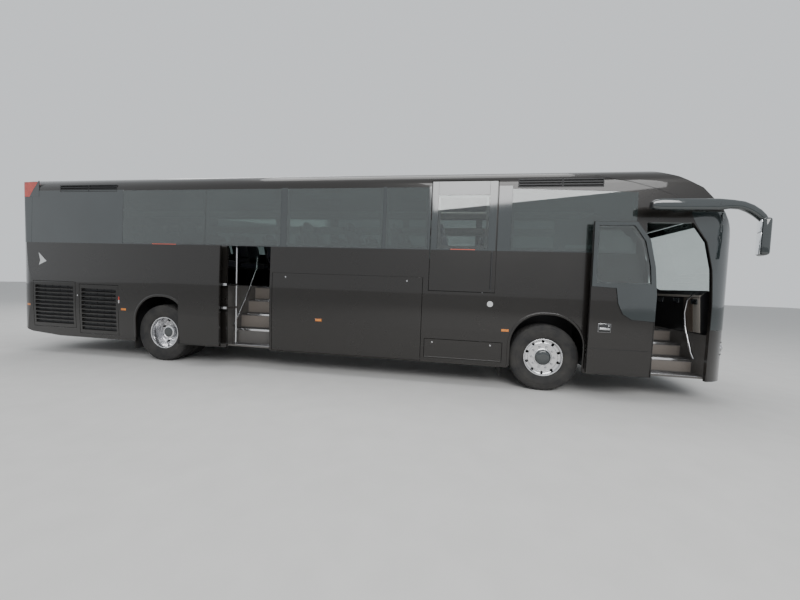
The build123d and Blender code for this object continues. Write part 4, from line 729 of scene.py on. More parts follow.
# Seats: soft cushions on moulded shells, in place of the plain solids
seat_rows = [-5.82 + 0.79 * k for k in range(12)]
DOOR_ROWS = (5, 6)
bench_places = [(x, 1) for x in seat_rows] + [(x, -1) for k, x in enumerate(seat_rows) if k not in DOOR_ROWS]


def one_seat(soft, hard, x, y, z, width=0.435):
    """Cushion, reclined back and headrest, with the shell behind them."""
    lean = Matrix.Rotation(radians(-11.5), 4, "Y")
    cushion(soft, (x + 0.285, y, z + 0.44), (0.235, width / 2, 0.062), crown=0.25, channels=((-0.05, 0.18),))
    centre = Vector((x - 0.005, y, z + 0.76))
    cushion(soft, centre, (0.052, width / 2, 0.3), turn=lean)
    for e in (-1, 1):
        edge = centre + Vector((0.03, e * (width / 2 - 0.035), -0.03))
        cushion(soft, edge, (0.038, 0.032, 0.24), 3, lean, cuts=4)
    cushion(soft, (x - 0.072, y, z + 1.105), (0.042, width / 2 - 0.06, 0.07), turn=lean, cuts=5)
    shell = (x - 0.074, y - width / 2 + 0.006, z + 0.4), (x - 0.05, y + width / 2 - 0.006, z + 1.1)
    bar(hard, *shell, 0.01, 2, lean)


# Armrests, feet, legs and rail of a bench: places, half width, x and z from and to, radius
BENCH_BARS = (
    ((0.275, 0.71, 1.145), 0.018, 0.02, 0.32, 0.6, 0.635, 0.01),
    ((0.4, 1.02), 0.02, 0.12, 0.36, 0.002, 0.03, 0.006),
    ((0.4, 1.02), 0.015, 0.17, 0.31, 0.02, 0.375, 0.008), ((0.71,), 0.43, 0.08, 0.46, 0.355, 0.385, 0.008),
)
soft, hard = bmesh.new(), bmesh.new()
for x, s in bench_places:
    for y in (0.485, 0.935):
        one_seat(soft, hard, x, s * y, DECK_Z)
    for ys, half, x0, x1, z0, z1, r in BENCH_BARS:
        for y in ys:
            bar(hard, (x + x0, s * y - half, DECK_Z + z0), (x + x1, s * y + half, DECK_Z + z1), r)
one_seat(soft, hard, 4.82, 0.62, PLATFORM_Z, 0.5)
bar(hard, (4.96, 0.42, PLATFORM_Z + 0.002), (5.22, 0.82, PLATFORM_Z + 0.1), 0.02)
bar(hard, (5.0, 0.5, PLATFORM_Z + 0.09), (5.18, 0.74, PLATFORM_Z + 0.385), 0.02)
cushions = made("seat_cushions", soft, fabric, 60, instead=("seats",))
made("seat_frames", hard, black, 40)

# Mirrors: a swept horn, with (x, z, half height, half width) down it, and a rounded head on each side
HORN = [
    (4.893, 2.802, 0.04, 0.034), (4.925, 2.806, 0.066, 0.048), (5.0, 2.808, 0.078, 0.053),
    (5.4, 2.808, 0.078, 0.054), (5.7, 2.806, 0.076, 0.054), (5.86, 2.808, 0.058, 0.052),
    (5.98, 2.794, 0.052, 0.05), (6.08, 2.752, 0.052, 0.048), (6.165, 2.695, 0.05, 0.046),
    (6.225, 2.64, 0.046, 0.042), (6.255, 2.6, 0.04, 0.038),
]
HORN_Y = 1.45
for side, s in SIDES:
    bm = bmesh.new()
    rings = []
    for i, (x, z, h, w) in enumerate(HORN):
        a, b = HORN[max(i - 1, 0)], HORN[min(i + 1, len(HORN) - 1)]
        t = Vector((b[0] - a[0], 0, b[1] - a[1])).normalized()
        up = Vector((-t.z, 0, t.x))
        ring = []
        for c, d in circle(1, 20):
            u = copysign(abs(c) ** 0.6, c) * w
            v = copysign(abs(d) ** 0.6, d) * h
            ring.append(bm.verts.new(Vector((x, s * HORN_Y + u, z)) + up * v))
        rings.append(ring)
    loft(bm, rings)
    bar(bm, (4.93, s * 1.44 - 0.02, 2.755), (4.97, s * 1.44 + 0.02, 2.76), 0.002)
    y0, y1 = mirrored(s, 1.225, 1.43)
    bar(bm, (5.285, y0, 2.745), (5.475, y1, 2.845), 0.016, 3)
    turn = Matrix.Rotation(s * radians(27), 4, "Z")
    head, reach = (6.255, s * 1.465, 2.375), (0.048, 0.118, 0.243)
    bar(bm, *[[c + k * d for c, d in zip(head, reach)] for k in (-1, 1)], 0.034, 4, turn)
    made(f"{side}_mirror_housing", bm, gloss_black, 40, instead=("mirrors",))
    bm = bmesh.new()
    for low, high in ((-0.225, 0.055), (0.072, 0.222)):
        c = Vector(head) + turn @ Vector((-0.0475, 0, (low + high) / 2))
        reach = Vector((0.003, 0.103, (high - low) / 2))
        bar(bm, c - reach, c + reach, 0.0028, 2, turn)
    made(f"{side}_mirror_glass", bm, mirror_glass, 40)
    bm = bmesh.new()
    ring = [(5.7, s * HORN_Y + 0.0536 * c, 2.806 + 0.075 * d) for c, d in circle(1, 28)]
    sweep(bm, ring, 0.0022, (1, 0, 0), True)
    bar(bm, (4.888, s * HORN_Y - 0.04, 2.757), (4.902, s * HORN_Y + 0.04, 2.835), 0.006, 3)
    made(f"{side}_mirror_joint_ring", bm, black, 40)


# Doors: seals, frame and handle on the open leaves, and a black strip painted as the shade of the front
# leaf's crease
def leaf_y(z, out):
    """Place of an open leaf's outer side at a height, moved outwards."""
    return LEAF_Y + WALL_LEAN * max(0, z - LEAN_FROM) - out


def door_seals(name, leaf, lines, x0, x1):
    """Round seals down a leaf's edges, which are lines of (x, z), and a flat one under it."""
    bm = bmesh.new()
    for line in lines:
        sweep(bm, [(x, leaf_y(z, -0.01), z) for x, z in line], 0.0055, (0, 1, 0))
    bar(bm, (x0, LEAF_Y + 0.008, 0.3765), (x1, LEAF_Y + 0.036, 0.386), 0.003)
    made(name, bm, rubber, body=leaf)


def leaf_strip(bm, x0, x1, z0, z1, out, r, mat=0):
    """Thin raised strip on an open leaf's outer face."""
    bar(bm, (x0, LEAF_Y - out, z0), (x1, LEAF_Y + 0.004, z1), r, 2, mat=mat)


door_seals("front_door_seals", "front_door_leaf", (
    [(5.0585, LEAF_FOOT), (5.0655, 1.45), (5.0285, 1.95), (4.9485, 2.33), (4.7685, 2.592)],
    [(4.2125, z) for z in (LEAF_FOOT, LEAN_FROM, 2.592)],
), 4.212, 5.059)
OUTER = [
    (4.213, 1.655), (4.54, 1.64), (4.572, 1.42), (4.64, 1.27), (4.76, 1.195), (5.058, 1.18),
    (5.062, 1.56), (5.028, 1.95), (4.948, 2.33), (4.77, 2.585), (4.213, 2.585),
]
INNER = [
    (4.268, 1.708), (4.54, 1.708), (4.62, 1.708), (4.7, 1.708), (4.85, 1.708), (4.985, 1.708),
    (4.982, 1.76), (4.968, 1.95), (4.89, 2.31), (4.738, 2.532), (4.268, 2.532),
]
bm = bmesh.new()
outer_top, outer_low, inner_top, inner_low = [
    [bm.verts.new((x, leaf_y(z, out), z)) for x, z in line]
    for line in (OUTER, INNER) for out in (0.0122, 0.007)
]
for i in range(len(OUTER)):
    j = (i + 1) % len(OUTER)
    bm.faces.new((outer_top[i], outer_top[j], inner_top[j], inner_top[i]))
    bm.faces.new((outer_low[i], inner_low[i], inner_low[j], outer_low[j]))
    bm.faces.new((outer_top[i], outer_low[i], outer_low[j], outer_top[j]))
    bm.faces.new((inner_top[i], inner_top[j], inner_low[j], inner_low[i]))
made("front_door_frame", bm, gloss_black, 30, "front_door_leaf")
bm = bmesh.new()
leaf_strip(bm, 4.33, 4.5, 0.995, 1.12, 0.004, 0.004, 1)
leaf_strip(bm, 4.345, 4.485, 1.03, 1.062, 0.016, 0.006)
round_bar(bm, (4.47, LEAF_Y - 0.006, 1.092), 0.011, 0.003, 20)
made("front_door_handle", bm, [chrome, black], body="front_door_leaf")
# Thin black strip across the front leaf: painted shade standing for the shadow line of its crease
bm = bmesh.new()
leaf_strip(bm, 4.245, 5.03, 0.75, 0.754, 0.0012, 0.0008)
made("front_door_crease_shade", bm, black, body="front_door_leaf")
door_seals("mid_door_seals", "mid_door_leaf", [
    [(x, z) for z in (LEAF_FOOT, LEAN_FROM, 2.142)] for x in (-2.5525, -1.7615)
], -2.553, -1.761)

# Stairs: bright nosings, ribbed treads and lit risers
FIRST_STEP_Z = 0.4
bm = bmesh.new()
for x0, x1, rise, tread, count in ((4.927, 5.856, 0.2, 0.265, 3), (-1.758, -0.852, 0.26, 0.22, 4)):
    for n in range(count + 1):
        z = FIRST_STEP_Z + n * rise
        edge_y = -1.225 + n * tread if n else -1.203
        if n:
            bar(bm, (x0, edge_y - 0.002, z - 0.03), (x1, edge_y + 0.004, z + 0.002), 0.0015)
            bar(bm, (x0, edge_y, z - 0.0005), (x1, edge_y + 0.038, z + 0.0035), 0.0012)
        else:
            bar(bm, (x0, edge_y, z - 0.026), (x1, edge_y + 0.03, z + 0.004), 0.003)
        if n < count:
            deep = tread if n else 0.243
            for k in range(6):
                yy = edge_y + 0.045 + k * (deep - 0.065) / 6
                bar(bm, (x0 + 0.02, yy, z), (x1 - 0.02, yy + 0.012, z + 0.003), 0.001, 1, mat=1)
            yy, top = edge_y + deep, z + rise
            bar(bm, (x0 + 0.01, yy - 0.0035, z + 0.01), (x1 - 0.01, yy + 0.001, top - 0.04), 0.001, 1, mat=2)
made("step_nosings", bm, [aluminium, black, taupe], 30)

# Grab rails at the doors, each a line of (y, z) at an x, and two end plates
RAIL_R = 0.016
bm = bmesh.new()
for x, line in (
    (4.985, [(-0.99, 0.66), (-0.93, 0.7), (-0.7, 1.02), (-0.5, 1.36), (-0.42, 1.62), (-0.4, 1.86)]),
    (5.835, [(-1.02, 0.62), (-0.96, 0.7), (-0.8, 1.06), (-0.76, 1.3), (-0.8, 1.5), (-0.94, 1.6)]),
    (-1.735, [(-1.04, 0.72), (-0.98, 0.78), (-0.6, 1.35), (-0.34, 1.8), (-0.32, 2.05)]),
    (-0.875, [(-1.04, 0.72), (-0.98, 0.78), (-0.6, 1.35), (-0.4, 1.7)]),
):
    sweep(bm, [(x, y, z) for y, z in line], RAIL_R, (1, 0, 0))
for p in ((4.975, -0.99, 0.66), (4.975, -0.4, 1.87)):
    round_bar(bm, p, 0.03, 0.006, 20, along_x=True)
made("door_grab_rails", bm, chrome, 60)

# Front and rear faces of the body, as the CAD model has them: (distance in from the end, z)
FRONT_PROFILE = [
    (0.06, 0.345), (0.0, 0.62), (0.0, 0.8), (0.035, 1.0), (0.11, 1.85), (0.2, 2.28), (0.31, 2.6),
    (0.54, 2.9), (0.72, 3.1), (1.03, 3.27), (1.33, 3.38), (1.63, 3.435), (1.98, 3.46),
]
REAR_PROFILE = [
    (0.42, 0.4), (0.15, 0.485), (0.06, 0.57), (0.0, 1.1), (0.02, 1.54), (0.06, 2.49), (0.11, 2.9),
    (0.175, 3.33), (0.33, 3.46),
]
BOW_RADIUS = (HALF ** 2 + BOW_DEPTH ** 2) / (2 * BOW_DEPTH)
CORNER_Y = HALF - CORNER_R
CORNER_X = FRONT_X - BOW_RADIUS + sqrt((BOW_RADIUS - CORNER_R) ** 2 - CORNER_Y ** 2)
BOW_END_Y = CORNER_Y * BOW_RADIUS / (BOW_RADIUS - CORNER_R)


def at_height(line, z):
    """First number of a line of (number, height), at a height."""
    for (a, low), (b, high) in zip(line, line[1:]):
        if low <= z <= high:
            return a + (b - a) * (z - low) / (high - low)
    return line[0][0] if z < line[0][1] else line[-1][0]


def front_x(y, z):
    """Place of the front face."""
    y = min(abs(y), HALF - 1e-4)
    if y < BOW_END_Y:
        bow = FRONT_X - BOW_RADIUS + sqrt(BOW_RADIUS ** 2 - y * y)
    else:
        bow = CORNER_X + sqrt(max(0, CORNER_R ** 2 - (y - CORNER_Y) ** 2))
    return min(bow, FRONT_X - at_height(FRONT_PROFILE, z))


def rear_x(y, z):
    """Place of the rear face."""
    y = min(abs(y), HALF - 1e-4)
    corner = REAR_X
    if y > HALF - REAR_CORNER:
        corner = REAR_X + REAR_CORNER - sqrt(max(0, REAR_CORNER ** 2 - (y - HALF + REAR_CORNER) ** 2))
    return max(corner, REAR_X + at_height(REAR_PROFILE, z))


def on_end(face, y, z, out):
    """Point on the front or rear face, moved outwards along its normal."""
    e = 0.004
    x = face(y, z)
    across, up = face(y + e, z) - face(y - e, z), face(y, z + e) - face(y, z - e)
    n = Vector((1, -across / (2 * e), -up / (2 * e)))
    if face is rear_x:
        n = -n
    return Vector((x, y, z)) + n.normalized() * out


def sheet(bm, point, nu, nv, out, depth, mat=0):
    """Thin solid over a grid; point(i, j, out) gives its corners, moved outwards."""
    top, low = [
        [[bm.verts.new(point(i, j, lift)) for i in range(nu + 1)] for j in range(nv + 1)]
        for lift in (out, out - depth)
    ]
    faces = []
    for j in range(nv):
        for i in range(nu):
            faces.append(bm.faces.new((top[j][i], top[j][i + 1], top[j + 1][i + 1], top[j + 1][i])))
            faces.append(bm.faces.new((low[j][i], low[j + 1][i], low[j + 1][i + 1], low[j][i + 1])))
    rim = [(0, i) for i in range(nu)] + [(j, nu) for j in range(nv)]
    rim += [(nv, i) for i in range(nu, 0, -1)] + [(j, 0) for j in range(nv, 0, -1)]
    for (ja, ia), (jb, ib) in zip(rim, rim[1:] + rim[:1]):
        faces.append(bm.faces.new((top[ja][ia], low[ja][ia], low[jb][ib], top[jb][ib])))
    for f in faces:
        f.material_index = mat


def end_sheet(bm, face, y0, y1, z0, z1, out, depth, ny, nz, mat=0):
    """Thin curved plate lying on the front or rear face."""
    def point(i, j, lift):
        return on_end(face, y0 + (y1 - y0) * i / ny, z0 + (z1 - z0) * j / nz, lift)
    sheet(bm, point, ny, nz, out, depth, mat)


def end_piece(name, face, mats, sheets):
    """Piece of curved plates on an end, each (y0, y1, z0, z1, out, depth, columns, rows, material)."""
    bm = bmesh.new()
    for row in sheets:
        end_sheet(bm, face, *row)
    made(name, bm, mats, 30)


def end_disc(bm, face, y, z, rings, n=40, mat=0):
    """Round stepped disc on the front or rear face; rings are (radius, out)."""
    rows = []
    for r, out in rings:
        rows.append([bm.verts.new(on_end(face, y + u, z + v, out)) for u, v in circle(r, n if r else 1)])
    close_rings(bm, rows, n, mat)


def corner_point(x, z, side, out):
    """Point on the rounded front corner, moved outwards."""
    ahead = max(0, x - CORNER_X)
    round_y = CORNER_Y + sqrt(max(0, CORNER_R ** 2 - ahead ** 2))
    if round_y < side_y(z):
        n = Vector((ahead, side * (round_y - CORNER_Y), 0)).normalized()
    else:
        n = Vector((0, side, 0.028)).normalized()
    return Vector((x, side * min(round_y, side_y(z)), z)) + n * out


def rear_corner_point(x, z, side, out):
    """Point on the rounded rear corner, moved outwards."""
    round_x = min(0, x - REAR_X - REAR_CORNER)
    y = HALF - REAR_CORNER + sqrt(max(0, REAR_CORNER ** 2 - round_x ** 2))
    n = Vector((round_x, side * (y - HALF + REAR_CORNER), 0)).normalized()
    return Vector((x, side * min(y, side_y(z)), z)) + n * out


CORNER_COLUMNS = 14


def corner_sheet(bm, corner, z0, z1, from_x, to_x, side, out, depth, nz=12):
    """Thin plate round a corner, between two places that change with height."""
    def point(i, j, lift):
        z = z0 + (z1 - z0) * j / nz
        a, b = from_x(z), to_x(z)
        return corner(a + (b - a) * i / CORNER_COLUMNS, z, side, lift)
    sheet(bm, point, CORNER_COLUMNS, nz, out, depth)


# Windscreen: black borders and two long wipers
SCREEN_EDGE = [(0.519, 1.08), (0.515, 1.45), (0.552, 1.95), (0.632, 2.33), (0.8, 2.6), (0.86, 2.76)]
bm = bmesh.new()
end_sheet(bm, front_x, -1.18, 1.18, 1.088, 1.2, 0.0022, 0.005, 48, 3)
end_sheet(bm, front_x, -1.05, 1.05, 2.66, 2.752, 0.0022, 0.005, 48, 2)
for s in (-1, 1):
    corner_sheet(
        bm, corner_point, 1.088, 2.752, lambda z: FRONT_X - at_height(SCREEN_EDGE, z),
        lambda z: front_x(0.96, z), s, 0.0022, 0.005, 16,
    )
made("windscreen_border", bm, gloss_black, 30)
WIPER_FOOT_Z = 1.135
bm = bmesh.new()
for y in (-0.72, 0.0):
    arm = []
    for t in [k / 10 for k in range(11)]:
        arm.append(on_end(front_x, y + 0.52 * t, WIPER_FOOT_Z + 0.195 * t, 0.026 + 0.016 * sin(pi * t)))
    sweep(bm, arm, [(-0.011, -0.006), (0.011, -0.006), (0.008, 0.007), (-0.008, 0.007)])
    blade = [on_end(front_x, y + 0.06 + 0.9 * t, 1.235 + 0.2 * t, 0.012) for t in [k / 14 for k in range(15)]]
    sweep(bm, blade, [(-0.007, -0.01), (0.007, -0.01), (0.01, 0.008), (-0.01, 0.008)])
    foot = [(0.0, -0.004), (0.03, -0.004), (0.03, 0.018), (0.022, 0.034), (0.0, 0.036)]
    end_disc(bm, front_x, y, WIPER_FOOT_Z, foot, 24)
made("wipers", bm, black, 35)

# Front panel: gloss insert between the lamps, intake slats, fog lamps, plate and towing hole rim
TOW_Z = 0.52
TOW_RING = [(0.0705, -0.04), (0.0705, 0.004), (0.074, 0.006), (0.08, 0.006), (0.084, 0.003), (0.084, -0.004)]
end_piece("front_insert", front_x, gloss_black, (
    (-0.56, 0.56, 0.745, 0.905, 0.003, 0.008, 30, 2), (-0.6, 0.6, 0.965, 0.972, 0.0015, 0.004, 30, 1),
))
bm = bmesh.new()
for k in range(5):
    z = 0.392 + 0.036 * k
    for s in (-1, 1):
        end_sheet(bm, front_x, *mirrored(s, 0.09, 0.56), z, z + 0.016, 0.0085, 0.013, 14, 1)
for s in (-1, 1):
    end_sheet(bm, front_x, *mirrored(s, 0.575, 0.085), 0.384, 0.562, 0.0025, 0.006, 14, 2, 1)
end_disc(bm, front_x, 0, TOW_Z, TOW_RING, 48)
made("front_intake", bm, [black, gloss_black], 30)
bm = bmesh.new()
for y in (-0.82, 0.82):
    end_disc(bm, front_x, y, 0.5, [(0.07, -0.004), (0.07, 0.006), (0.06, 0.01), (0.053, 0.006)], mat=1)
    end_disc(bm, front_x, y, 0.5, [(0.053, 0.004), (0.05, 0.007), (0.036, 0.011), (0.0, 0.013)])
    end_disc(bm, front_x, y, 0.5, [(0.044, 0.0125), (0.046, 0.0125), (0.046, 0.006)], mat=2)
made("fog_lamps", bm, [lens, gloss_black, chrome], 30)
end_piece("front_blank_plate", front_x, [white, black], (
    (-0.262, 0.262, 0.587, 0.697, 0.006, 0.01, 16, 1, 1), (-0.255, 0.255, 0.594, 0.69, 0.0085, 0.004, 16, 1),
))

# Headlamps: bezels, reflector rings and light guides on the lamp glass
LAMP_Z = 0.815
bm = bmesh.new()
for s in (-1, 1):
    for z0, z1 in ((0.722, 0.735), (0.895, 0.908)):
        end_sheet(bm, front_x, *mirrored(s, 0.614, 1.136), z0, z1, 0.0045, 0.01, 24, 1)
    for y, r in ((0.74, 0.056), (0.9, 0.056), (1.03, 0.046)):
        bezel = [(r + 0.01, 0.0), (r + 0.01, 0.006), (r + 0.004, 0.009), (r, 0.005), (r * 0.85, 0.0015)]
        end_disc(bm, front_x, s * y, LAMP_Z, bezel, mat=1)
        bulb = [(r * 0.6, 0.002), (r * 0.56, 0.01), (r * 0.4, 0.017), (0.0, 0.02)]
        end_disc(bm, front_x, s * y, LAMP_Z, bulb, 32, 2)
    end_sheet(bm, front_x, *mirrored(s, 0.64, 1.09), 0.744, 0.752, 0.005, 0.006, 20, 1, 3)
made("headlamp_details", bm, [black, chrome, lens, white], 30)

# Rear corners: the dark band carried round them and the high red lamps
LAMP_EDGE = [(-6.03, 3.03), (-5.95, 3.16), (-5.835, 3.32), (-5.78, 3.4)]


def lamp_edge(z):
    """Place of the high lamp's front edge."""
    return at_height(LAMP_EDGE, z)


def tail_x(z):
    """Where the rounded corner meets the tail."""
    return REAR_X + at_height(REAR_PROFILE, z) + 0.004


bm = bmesh.new()
for s in (-1, 1):
    corner_sheet(bm, rear_corner_point, 3.034, 3.322, lamp_edge, tail_x, s, 0.004, 0.008)
made("high_corner_lamps", bm, red, 30)
bm = bmesh.new()
for s in (-1, 1):
    corner_sheet(bm, rear_corner_point, BAND_Z[0], 3.03, lambda z: BAND_END, tail_x, s, 0.0022, 0.006)
    corner_sheet(
        bm, rear_corner_point, 3.034, 3.345, lambda z: -5.8, lambda z: max(-6.03, lamp_edge(z) + 0.004),
        s, 0.0046, 0.008,
    )
made("rear_corner_bands", bm, gloss_black, 30)

# Rear: lamp segments, window border, hatch slats and handle, plate, high brake light
bm = bmesh.new()
for y in (-1.08, 1.08):
    for z, mat in ((0.915, 2), (1.06, 1), (1.215, 1), (1.375, 3)):
        end_disc(bm, rear_x, y, z, [(0.062, -0.002), (0.062, 0.008), (0.056, 0.011), (0.05, 0.008)])
        end_disc(bm, rear_x, y, z, [(0.051, 0.006), (0.047, 0.01), (0.03, 0.015), (0.0, 0.017)], mat=mat)
made("tail_lamp_rounds", bm, [gloss_black, red, lens, amber], 30)
end_piece("rear_window_border", rear_x, gloss_black, (
    (-0.94, 0.94, 2.19, 2.249, 0.0024, 0.006, 20, 2), (-0.94, 0.94, 2.981, 3.04, 0.0024, 0.006, 20, 2),
    (-0.94, -0.901, 2.19, 3.04, 0.0024, 0.006, 2, 14), (0.901, 0.94, 2.19, 3.04, 0.0024, 0.006, 2, 14),
))
end_piece("high_brake_light", rear_x, [red, black], (
    (-0.45, 0.45, 3.085, 3.115, 0.004, 0.008, 18, 1, 1), (-0.44, 0.44, 3.09, 3.11, 0.008, 0.006, 18, 1),
))
bm = bmesh.new()
for k in range(9):
    z = 0.76 + 0.034 * k
    end_sheet(bm, rear_x, -0.78, 0.78, z, z + 0.017, 0.007, 0.011, 16, 1)
end_sheet(bm, rear_x, -0.795, 0.795, 0.745, 1.072, 0.0018, 0.005, 16, 6, 1)
for s in (-1, 1):
    end_sheet(bm, rear_x, *mirrored(s, 0.795, 0.782), 0.745, 1.072, 0.0075, 0.012, 1, 6)
made("hatch_slats", bm, [black, gloss_black], 30, "engine_hatch")
bm = bmesh.new()
end_sheet(bm, rear_x, -0.3, 0.3, 1.33, 1.352, 0.02, 0.012, 12, 1)
for s in (-1, 1):
    end_sheet(bm, rear_x, *mirrored(s, 0.3, 0.27), 1.33, 1.352, 0.012, 0.014, 2, 1)
end_sheet(bm, rear_x, -0.262, 0.262, 1.15, 1.262, 0.006, 0.01, 12, 1, 1)
end_sheet(bm, rear_x, -0.255, 0.255, 1.157, 1.255, 0.0085, 0.004, 12, 1, 2)
end_sheet(bm, rear_x, -0.18, 0.18, 1.275, 1.295, 0.016, 0.02, 10, 1)
made("hatch_handle_and_plate", bm, [chrome, black, white], 30, "engine_hatch")
bm = bmesh.new()
end_disc(bm, rear_x, 0, TOW_Z, TOW_RING, 48)
for s in (-1, 1):
    end_sheet(bm, rear_x, *mirrored(s, 0.96, 1.12), 0.64, 0.69, 0.006, 0.01, 8, 1, 1)
made("rear_reflectors", bm, [black, red], 30)


# Dashboard: dark top with a pale edge, end covers, binnacle, vents, screen and switch rows
def dash_plate(bm, outline, y0, y1, r, seg=1, mat=0):
    """Plate across the bus from an outline of (distance behind the front, z)."""
    plate(bm, [(FRONT_X - x, z) for x, z in outline], y0, y1, r, seg, mat)


def dash_bar(bm, x, y, z, r, seg=2, turn=None, mat=0):
    """Bar between two distances behind the front, two places across and two heights."""
    bar(bm, (FRONT_X - x[0], y[0], z[0]), (FRONT_X - x[1], y[1], z[1]), r, seg, turn, mat)


bm = bmesh.new()
edge = [(0.552, 1.545), (0.548, 1.572), (0.536, 1.58), (0.53, 1.566), (0.54, 1.548)]
dash_plate(bm, edge, -1.058, 0.118, 0.0015)
edge = [(0.846, 1.402), (0.748, 1.64), (0.738, 1.65), (0.732, 1.64), (0.838, 1.398)]
dash_plate(bm, edge, 0.122, 1.058, 0.0015, mat=1)
top = [(0.538, 1.566), (0.452, 1.65), (0.34, 1.612), (0.34, 1.602), (0.45, 1.641), (0.535, 1.562)]
dash_plate(bm, top, -1.055, 0.1, 0.002, mat=1)
cover = [(0.503, 1.02), (0.512, 1.02), (0.549, 1.535), (0.54, 1.535)]
dash_plate(bm, cover, -1.058, -0.925, 0.003, 2)
dash_plate(bm, cover, -0.922, -0.72, 0.003, 2, 2)
hood = [(0.8, 1.6), (0.74, 1.745), (0.6, 1.79), (0.47, 1.76), (0.5, 1.7), (0.74, 1.65)]
dash_plate(bm, hood, 0.36, 0.88, 0.012, 3, 1)
made("dash_cover", bm, [trim, black, brown], 30)
bm = bmesh.new()
for y, r in ((0.485, 0.055), (0.62, 0.04), (0.755, 0.055)):
    c = Vector((FRONT_X - 0.792, y, 1.66))
    round_bar(bm, c, r, 0.006, 36, 0.08, 1, True)
    round_bar(bm, c + Vector((-0.006, 0, 0)), r * 0.86, 0.002, 36, 0.05, 0, True)
    bar(bm, c + Vector((-0.011, -0.0012, -r * 0.1)), c + Vector((-0.009, 0.0012, r * 0.7)), 0.0004, 1, mat=2)
for k in range(6):
    dash_bar(bm, (0.85, 0.826), (0.15 + 0.034 * k, 0.176 + 0.034 * k), (1.452, 1.482), 0.003)
dash_bar(bm, (0.824, 0.79), (0.145, 0.33), (1.5, 1.61), 0.006, mat=1)
dash_bar(bm, (0.829, 0.822), (0.155, 0.32), (1.51, 1.6), 0.003)
for y in (-0.95, -0.55, -0.15, 0.95):
    dash_bar(bm, (0.553, 0.538), (y - 0.07, y + 0.07), (1.44, 1.52), 0.008, 3)
    for k in range(5):
        z = 1.45 + 0.0135 * k
        dash_bar(bm, (0.558, 0.55), (y - 0.06, y + 0.06), (z, z + 0.006), 0.001, 1, mat=1)
tilt = Matrix.Rotation(radians(25), 4, "Y")
for y, w in ((0.5, 0.05), (0.7, 0.06), (0.83, 0.04)):
    dash_bar(bm, (0.92, 0.88), (y - w / 2, y + w / 2), (PLATFORM_Z + 0.06, PLATFORM_Z + 0.17), 0.006, 2, tilt)
    dash_bar(bm, (0.89, 0.82), (y - 0.008, y + 0.008), (PLATFORM_Z + 0.02, PLATFORM_Z + 0.2), 0.003, 1, mat=1)
made("dash_instruments", bm, [gloss_black, chrome, white], 30)

# Roof pod
POD_X, POD_Z, POD_HALF = 5.2, 3.402, 0.045
bm = bmesh.new()
outline = [(-0.075, 0.0), (-0.062, 0.026), (-0.03, 0.036), (0.03, 0.036), (0.07, 0.022), (0.085, 0.0)]
plate(bm, [(POD_X + x, POD_Z + z - 0.1 * x) for x, z in outline], -POD_HALF, POD_HALF, 0.008, 3)
made("roof_pod", bm, black, 40)

# Mud flaps behind the wheels, and the exhaust with its tail
bm = bmesh.new()
for x, low in ((FA - 0.652, 0.2), (RA - 0.632, 0.18)):
    for s in (-1, 1):
        y0, y1 = mirrored(s, 0.79, 1.19)
        bar(bm, (x - 0.006, y0, low), (x + 0.004, y1, 0.56), 0.003, 2)
        bar(bm, (x - 0.012, y0, 0.5), (x + 0.008, y1, 0.53), 0.003, 1)
made("mud_flaps", bm, rubber, 30)
bm = bmesh.new()
sweep(bm, [(-5.3, 0.62, 0.47), (-5.75, 0.66, 0.455), (-5.98, 0.7, 0.44), (-6.06, 0.74, 0.415)], 0.052)
bar(bm, (-5.32, 0.5, 0.4), (-4.6, 0.86, 0.66), 0.06, 4)
made("exhaust", bm, steel, 40)


# Camera at the photo's place, found from its lines
def aim(yaw, pitch, roll):
    """Right, up and backward directions of a camera that looks along +Y at yaw 0."""
    fwd = Vector((sin(yaw), cos(yaw), 0))
    right = Vector((cos(yaw), -sin(yaw), 0))
    up = Vector((0, 0, 1))
    ahead = fwd * cos(pitch) + up * sin(pitch)
    over = up * cos(pitch) - fwd * sin(pitch)
    c, s = cos(roll), sin(roll)
    return right * c + over * s, over * c - right * s, -ahead


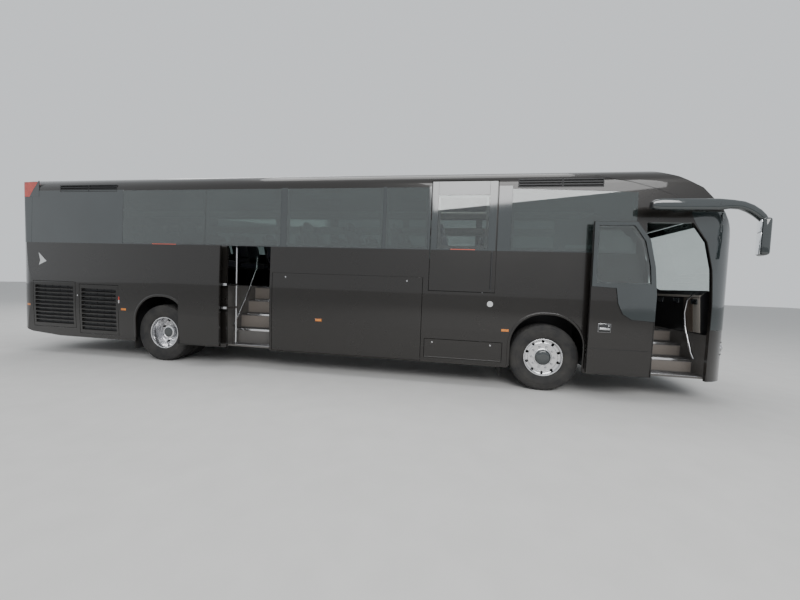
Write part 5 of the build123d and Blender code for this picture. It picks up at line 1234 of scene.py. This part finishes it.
camera = linked("camera", bpy.data.cameras.new("camera"))
turn = Matrix(aim(radians(-8.906), radians(-2.698), radians(2.07))).transposed()
camera.matrix_world = Matrix.Translation((2.219, -6.511, 1.578)) @ turn.to_4x4()
camera.data.sensor_width = 36
camera.data.lens = 14.726
bpy.context.scene.camera = camera

# Floor, backdrop colour and soft light
FLOOR_HALF = 60
floor = bpy.data.meshes.new("floor")
corners = [(x * FLOOR_HALF, y * FLOOR_HALF, 0) for x, y in ((-1, -1), (1, -1), (1, 1), (-1, 1))]
floor.from_pydata(corners, [], [(0, 1, 2, 3)])
floor_obj = linked("floor", floor)
floor.materials.append(material(
    "pale_floor", (0.7, 0.69, 0.67), 0.8, tones=(3, 4, (0.3, (0.68, 0.67, 0.65)), (0.7, (0.72, 0.71, 0.69))),
))

world = bpy.data.worlds.new("world")
bpy.context.scene.world = world
world.use_nodes = True
tree = world.node_tree
link = tree.links.new
rays = shader_node(tree, "LightPath").outputs
seen = rays["Is Camera Ray"]
for ray in ("Is Glossy Ray", "Is Transmission Ray"):
    most = shader_node(tree, "Math")
    most.operation = "MAXIMUM"
    link(seen, most.inputs[0])
    link(rays[ray], most.inputs[1])
    seen = most.outputs[0]
light = set_to(tree.nodes["Background"], {"Color": (0.9, 0.95, 1.0, 1), "Strength": 0.55})
shown = shader_node(tree, "Background", Color=(0.8, 0.83, 0.86, 1), Strength=1.0)
mix = shader_node(tree, "MixShader")
for k, out in enumerate((seen, light.outputs[0], shown.outputs[0])):
    link(out, mix.inputs[k])
link(mix.outputs[0], tree.nodes["World Output"].inputs["Surface"])


def lamp(name, place, target, size, power):
    """Soft area lamp aimed at a point."""
    data = bpy.data.lights.new(name, "AREA")
    data.shape = "RECTANGLE"
    data.size, data.size_y = size
    data.energy = power
    o = linked(name, data)
    o.location = place
    o.rotation_euler = (Vector(target) - Vector(place)).to_track_quat("-Z", "Y").to_euler()


lamp("key", (6, -14, 10), (1, 0, 1.5), (12, 6), 1500)
lamp("top", (0, 0, 13), (0, 0, 0), (14, 8), 900)
lamp("fill", (-10, 12, 8), (0, 0, 1.5), (10, 6), 700)
